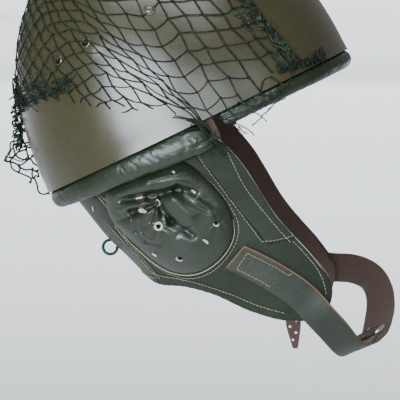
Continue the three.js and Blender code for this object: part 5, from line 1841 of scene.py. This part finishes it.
def net_gather(side, draw):
    """Bundle of drawn strands, splayed towards its foot, with cut ends that stick out of it."""
    turn = np.array([1.0, side, 1.0])
    bodies = []
    for _ in range(GATHERED_STRANDS):
        aside = draw.uniform(-4.2, 4.2)
        path = []
        for k, (u, v) in enumerate(GATHER_LINE[draw.choice((0, 1, 1, 2)):]):
            splayed = u + aside * (0.5 + 0.12 * k) + draw.uniform(-0.6, 0.6)
            path.append((splayed, rim_side(u), v + draw.uniform(-0.8, 0.8)))
        path = curve_points(path, np.linspace(0, 1, 22))
        lift = 1.2 + draw.uniform(0, 1.6)
        bodies.append(twine(path * turn, TWINE_RADIUS * draw.uniform(0.7, 0.95), lift))
    for _ in range(GATHERED_ENDS):
        u, v = GATHER_LINE[draw.choice((2, 3, 4, 5, 6))]
        start = np.array([u + draw.gauss(0, 2.0), rim_side(u), v + draw.gauss(0, 2.5)]) * turn
        aim = (draw.gauss(0.2, 0.8), 0, -1.0)
        bodies.append(loose_end(start, aim, draw.uniform(5, 12), draw, 0.8, TWINE_RADIUS * 0.7))
    return bodies


# Loose strands that cross the brow roll: u and v of their points
ROLL_STRANDS = [
    [(22, -2), (30, -8), (36, -15), (40, -20), (43, -27)],
    [(33, -2), (36, -7), (34, -12), (30, -14)],
    [(33, -1), (43, 0), (47, -2), (60, 0), (67, 7), (72, 7), (76, 1), (80, -4), (88, 2), (92, 5)],
    [(80, -4), (74, -8), (68, -12), (56, -16), (44, -20)],
    [(68, -12), (75, -12)],
    [(46, -1), (50, -6), (58, -10), (66, -8)],
    [(61, -1), (66, -6), (74, -6), (80, -4)],
]


def net_on_roll(side, draw):
    turn = np.array([1.0, side, 1.0])
    bodies = []
    for places in ROLL_STRANDS:
        path = [(u, rim_side(u), v) for u, v in places]
        path = curve_points(path, np.linspace(0, 1, 6 * len(path)))
        wobble = np.array([[draw.gauss(0, 0.25), 0, draw.gauss(0, 0.25)] for _ in path])
        bodies.append(twine((path + wobble) * turn, TWINE_RADIUS * 0.9, 1.0))
    return bodies


# Bunched lower edge at the back, at its front end and its back end: degrees round the shell, height and
# spread in mm
BUNCH_AZIMUTH = (122, 181)
BUNCH_RISE = (69.5, 81.0)
BUNCH_SPREAD = (3.0, 8.0)
BUNCH_ARCS = 115


def net_bunch(side, draw):
    """Rags of the net drawn up along its lower edge at the back."""
    turn = np.array([1.0, side, 1.0])
    bodies = []
    for _ in range(BUNCH_ARCS):
        azimuth = math.radians(draw.uniform(*BUNCH_AZIMUTH))
        share = (math.degrees(azimuth) - BUNCH_AZIMUTH[0]) / (BUNCH_AZIMUTH[1] - BUNCH_AZIMUTH[0])
        v = draw.gauss(np.interp(share, (0, 1), BUNCH_RISE), np.interp(share, (0, 1), BUNCH_SPREAD))
        flat = (1 - (max(v, 0) / SHELL_HEIGHT) ** SHELL_FULLNESS) ** (1 / SHELL_FULLNESS)
        heart = np.array([SHELL_HALF_LENGTH * flat * math.cos(azimuth),
                          -SHELL_HALF_WIDTH * flat * math.sin(azimuth), v])
        around = np.array([-math.sin(azimuth), -math.cos(azimuth), 0.0])
        lean = draw.gauss(0.35, 0.4)
        length = draw.uniform(8, 18)
        path = []
        for bit in BIT_SHARES:
            fall = -bit * length * math.sin(lean) + draw.uniform(-1.6, 1.6)
            path.append(heart - around * bit * length * math.cos(lean) + np.array([0, 0, fall]))
        lift = NET_LIFT + draw.uniform(0, 0.8 + 2.6 * share)
        path = curve_points(path, np.linspace(0, 1, 7))
        bodies.append(twine(path * turn, TWINE_RADIUS * 0.85, lift))
    return bodies


# Strands that hang behind the helmet: x, how far they spread to the sides, and their ends
HANGING_STRANDS = 6
HANG_STEPS = 19
HANG_RADIUS = 0.6
HANG_X = -67.0
HANG_HALF_WIDTH = 34
HANG_NARROWED = 0.28
HANG_TOP_Z = -106.0
HANG_FOOT_Z = -176.0


def hanging_strand(number, draw):
    """Places of a strand that hangs straight down. The outer ones lean forward at their tops."""
    aside = 2 * number / (HANGING_STRANDS - 1) - 1
    places = []
    for share in np.linspace(0, 1, HANG_STEPS):
        z = HANG_TOP_Z + (HANG_FOOT_Z - HANG_TOP_Z) * share
        gather = HANG_NARROWED + (1 - HANG_NARROWED) * math.exp(-share * 4.0)
        x = HANG_X - 4.5 * math.sin(min(1.0, share * 3) * math.pi / 2) + 2.5 * share
        x += aside * aside * 6.0 * math.exp(-share * 3.0)
        stray = draw.uniform(-2.4, 2.4)
        places.append((x + stray, aside * HANG_HALF_WIDTH * gather + draw.uniform(-1.5, 1.5), z))
    return np.array(places)


# Free tangle at the back, followed on an enlarged piece of the photograph's left edge: what
# each strand passes, in enlarged pixels from the left and from the top of that piece
TRACE_ZOOM = 10.45
TRACE_TOP = 60
TANGLE_LOOPS = [
    [(190, 840), (120, 860), (105, 940), (80, 990), (60, 1040), (95, 1060), (150, 1010), (200, 960),
     (270, 935)],
    [(60, 1040), (50, 1052), (120, 1065), (200, 1100), (260, 1070), (290, 1040)],
    [(120, 1065), (125, 1120), (150, 1150), (200, 1170), (330, 1240), (320, 1275)],
    [(200, 1100), (215, 1125), (200, 1170)],
    [(215, 1125), (270, 1145), (330, 1140), (385, 1160)],
    [(160, 990), (200, 1030), (260, 1045), (310, 1030), (350, 1080), (385, 1105)],
    [(240, 830), (262, 868), (300, 858), (330, 910), (275, 895)],
    [(240, 830), (270, 900), (285, 960), (310, 1030), (345, 1000)],
    [(330, 1140), (330, 1200), (345, 1240), (370, 1210), (400, 1220), (385, 1160)],
    [(345, 1240), (370, 1300), (400, 1380), (440, 1410), (500, 1395)],
    [(200, 440), (215, 520), (235, 600), (252, 650), (268, 700), (245, 745), (240, 830)],
    [(235, 600), (262, 600), (250, 640), (240, 690), (268, 740)],
    [(200, 440), (160, 500), (160, 545), (135, 540), (120, 552)],
    [(160, 545), (185, 600), (180, 640), (125, 642), (140, 690), (200, 705)],
    [(200, 705), (160, 735), (130, 752), (150, 805), (210, 790), (220, 850)],
    [(220, 850), (190, 900), (150, 880), (130, 900), (160, 990)],
]
# The first of them come twice, the second time further aside, for the width of the tangle
DOUBLED_LOOPS = 2
TANGLE_RADIUS = 0.7
TANGLE_SIDES = 6


def net_tangle(draw):
    """Hanging strands tied across by short slack meshes, and the loops that hang loose from them."""
    bodies = []
    hangs = []
    for number in range(HANGING_STRANDS):
        hangs.append(hanging_strand(number, draw))
        path = curve_points(hangs[-1], np.linspace(0, 1, 4 * HANG_STEPS))
        bodies.append(tube(path, HANG_RADIUS, TWINE_SIDES))
    for hang, neighbour in zip(hangs, hangs[1:]):
        for step in range(1, HANG_STEPS - 1, 2):
            start, end = hang[step], neighbour[min(HANG_STEPS - 1, step + draw.choice((0, 1)))]
            out = draw.uniform(0, 6.0) if step > 5 else draw.uniform(0, 2.0)
            middle = (start + end) / 2 + np.array([-out, 0, -draw.uniform(0, 4)])
            path = curve_points([start, middle, end], np.linspace(0, 1, 8))
            bodies.append(tube(path, TWINE_RADIUS, TWINE_SIDES))
            bodies.append(knot(start, KNOT_RADIUS * 1.1, draw))
    for number, loop in enumerate(TANGLE_LOOPS):
        side = draw.uniform(-7, 7)
        places = []
        for across, down in loop:
            x, z = seen_place(across / TRACE_ZOOM, TRACE_TOP + down / TRACE_ZOOM)
            places.append((x, side + draw.uniform(-3, 3), z))
        path = curve_points(places, np.linspace(0, 1, 10 * len(loop)))
        bodies.append(tube(path, TANGLE_RADIUS, TANGLE_SIDES))
        for spot in (path[0], path[-1]):
            bodies.append(knot(spot, KNOT_RADIUS * 1.2, draw))
        if number < DOUBLED_LOOPS:
            aside = draw.choice((-1, 1)) * draw.uniform(9, 15)
            behind = path + np.array([draw.uniform(0.5, 2.5), aside, draw.uniform(1, 4)])
            bodies.append(tube(behind, TWINE_RADIUS, TWINE_SIDES))
    return bodies


def camouflage_net(dark_twine, pale_twine):
    for side, name in ((1, "right"), (-1, "left")):
        draw = random.Random(40 + side)
        points, faces = gather_bodies(net_side(side, draw) + net_gather(side, draw)
                                      + net_on_roll(side, draw) + net_tuft(side, draw))
        half = make_piece(name + "_half_of_net", points, faces, [dark_twine])
        if side == 1:
            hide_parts("camouflage_net")
        points, faces = gather_bodies(net_border(side, draw))
        border = make_piece(name + "_border_of_net", points, faces, [pale_twine])
        points, faces = gather_bodies(net_bunch(side, draw))
        bunch = make_piece(name + "_bunch_of_net", points, faces, [dark_twine])
    points, faces = gather_bodies(net_tangle(random.Random(77)))
    tangle = make_piece("net_tangle_at_back", points, faces, [dark_twine])
    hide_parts("net_tail")


# Studio

# Softboxes round the helmet: place and aim in metres, width and height in metres, watts
SOFT_BOXES = {
    "key_light": ((-0.82, -1.9, -0.12), (0.03, 0.0, -0.15), (1.35, 1.15), 84.0),
    "top_light": ((-0.2, -1.0, 1.6), (0.05, 0.0, -0.15), (2.0, 1.1), 42.0),
    "front_light": ((0.5, -2.0, -0.1), (0.05, 0.0, -0.12), (0.9, 1.1), 14.0),
    "fill_light": ((1.35, -1.5, 0.1), (0.08, 0.0, -0.12), (0.8, 1.2), 6.0),
    "back_light": ((-0.5, 1.7, 0.9), (0.05, 0.0, -0.15), (1.2, 0.9), 6.0),
}
# Lamps over the far floor, in metres: where each starts and ends, its width and its height
FLOOR_STRIPS = [(6.5, 45.0, 28.0, 4.0), (45.0, 263.0, 90.0, 12.0), (263.0, 923.0, 320.0, 14.0)]
FLOOR_WATTS_PER_AREA = 6.5
ROOM_LIGHT = 0.27
# Floor in metres: below the helmet, flat this far out, then rising evenly to its rim
FLOOR_DROP = 1.2
FLOOR_FLAT = 150.0
FLOOR_REACH = 900.0
FLOOR_RISE = 6.0
FLOOR_RINGS = 24
FLOOR_SPOKES = 96


def light_studio():
    for name, (place, aim, size, watts) in SOFT_BOXES.items():
        soft_box(name, place, aim, size, watts)
    for number, (near, far, width, height) in enumerate(FLOOR_STRIPS):
        middle, depth = (near + far) / 2, far - near
        soft_box(f"floor_light_{number}", (0.0, middle, height), (0.0, middle, 0.0), (width, depth),
                 FLOOR_WATTS_PER_AREA * width * depth, mirrored=False)
    world = bpy.data.worlds.new("studio")
    world.use_nodes = True
    background = world.node_tree.nodes["Background"]
    background.inputs["Color"].default_value = linear("f7f7f6")
    background.inputs["Strength"].default_value = ROOM_LIGHT
    bpy.context.scene.world = world


def lay_floor(paper):
    ground = cad_box[0][2] - FLOOR_DROP
    spokes = np.linspace(0, 2 * math.pi, FLOOR_SPOKES + 1)[:-1]
    points = []
    faces = [tuple(range(FLOOR_SPOKES))]
    for reach in np.linspace(FLOOR_FLAT, FLOOR_REACH, FLOOR_RINGS):
        height = ground + FLOOR_RISE * ((reach - FLOOR_FLAT) / (FLOOR_REACH - FLOOR_FLAT)) ** 2
        points += [(math.cos(turn) * reach, math.sin(turn) * reach, height) for turn in spokes]
    for start in range(0, (FLOOR_RINGS - 1) * FLOOR_SPOKES, FLOOR_SPOKES):
        for k in range(FLOOR_SPOKES):
            d = (k + 1) % FLOOR_SPOKES
            beyond = start + FLOOR_SPOKES
            faces.append((start + k, beyond + k, beyond + d, start + d))
    mesh = bpy.data.meshes.new("studio_floor")
    mesh.from_pydata(points, [], faces)
    mesh.shade_smooth()
    mesh.materials.append(paper)
    floor = bpy.data.objects.new("studio_floor", mesh)
    bpy.context.scene.collection.objects.link(floor)


# Running order

place_camera()
light_studio()
lay_floor(floor_paper())

paint = painted_steel()
roll_skin = glazed_leather("glazed_sheepskin_of_the_rolls", "131d10", "1f2a18", 0.31, 0.5, 0.12)
pocket_skin = glazed_leather("glazed_sheepskin_of_the_ear_pockets", "171f14", "232b1e", 0.31, 0.5, 0.12)
flap_skin = glazed_leather("oiled_sheepskin_of_the_flaps", "121a10", "1e271a", 0.38, 0.27, 0.14)
strap_skin = glazed_leather("dyed_harness_leather_of_the_strap", "1c2019", "30362d", 0.42, 0.32, 0.2)
tail_skin = glazed_leather("faded_harness_leather_of_the_free_end", "352f33", "5d545a", 0.5, 0.5, 0.2)
raw_edge = raw_leather("cut_leather_edge", "40301f", "6f553d")
dark_edge = raw_leather("soiled_leather_edge", "3a382f", "6d6552")
tan_hide = raw_leather("tan_liner_hide", "2e251c", "53432f")
piping_edge = raw_leather("worn_leather_piping", "565744", "a4a38a")
pale_lip = raw_leather("cracked_leather_lip", "9c8072", "d8cbb8")
flesh_side = suede()
pale_thread = waxed_thread("waxed_linen_thread_pale", "45442f", "96937a")
ochre_thread = waxed_thread("waxed_linen_thread_ochre", "66502c", "9e8452")
nickel = nickel_plate()
cord_green = net_twine("laid_cotton_cord_green", "14332a", "2a5142")
net_green = net_twine("laid_cotton_twine_dark_green", "0a100c", "263a29")
net_pale = net_twine("laid_cotton_twine_worn_green", "101812", "4b5a48")

steel_shell(paint)
shell_fittings(paint)
rim_roll("brow_roll_sheepskin", "brow_roll", BROW_ROLL, -78.5, 78.5, 300, 0.0, 2.3, roll_skin)
rim_roll("nape_roll_sheepskin", "nape_roll", NAPE_ROLL, 86.0, 274.0, 380, NAPE_END_LEAN, 7.9, roll_skin)
liner_loops(raw_edge, tan_hide)
ear_flaps(flap_skin, dark_edge, flesh_side)
nape_curtain(flap_skin, dark_edge, flesh_side)
front_bands(flap_skin, raw_edge, flesh_side)
ear_pockets(pocket_skin, raw_edge, flesh_side)
hole_rims(pale_lip)
pocket_piping(piping_edge)
flap_seams(pale_thread)
front_edge_line(piping_edge)
chin_straps(strap_skin, flesh_side, raw_edge, nickel)
strap_edge_lines(raw_edge)
strap_seams(ochre_thread)
strap_tail(tail_skin, flesh_side, raw_edge)
cord_loop(cord_green)
camouflage_net(net_green, net_pale)
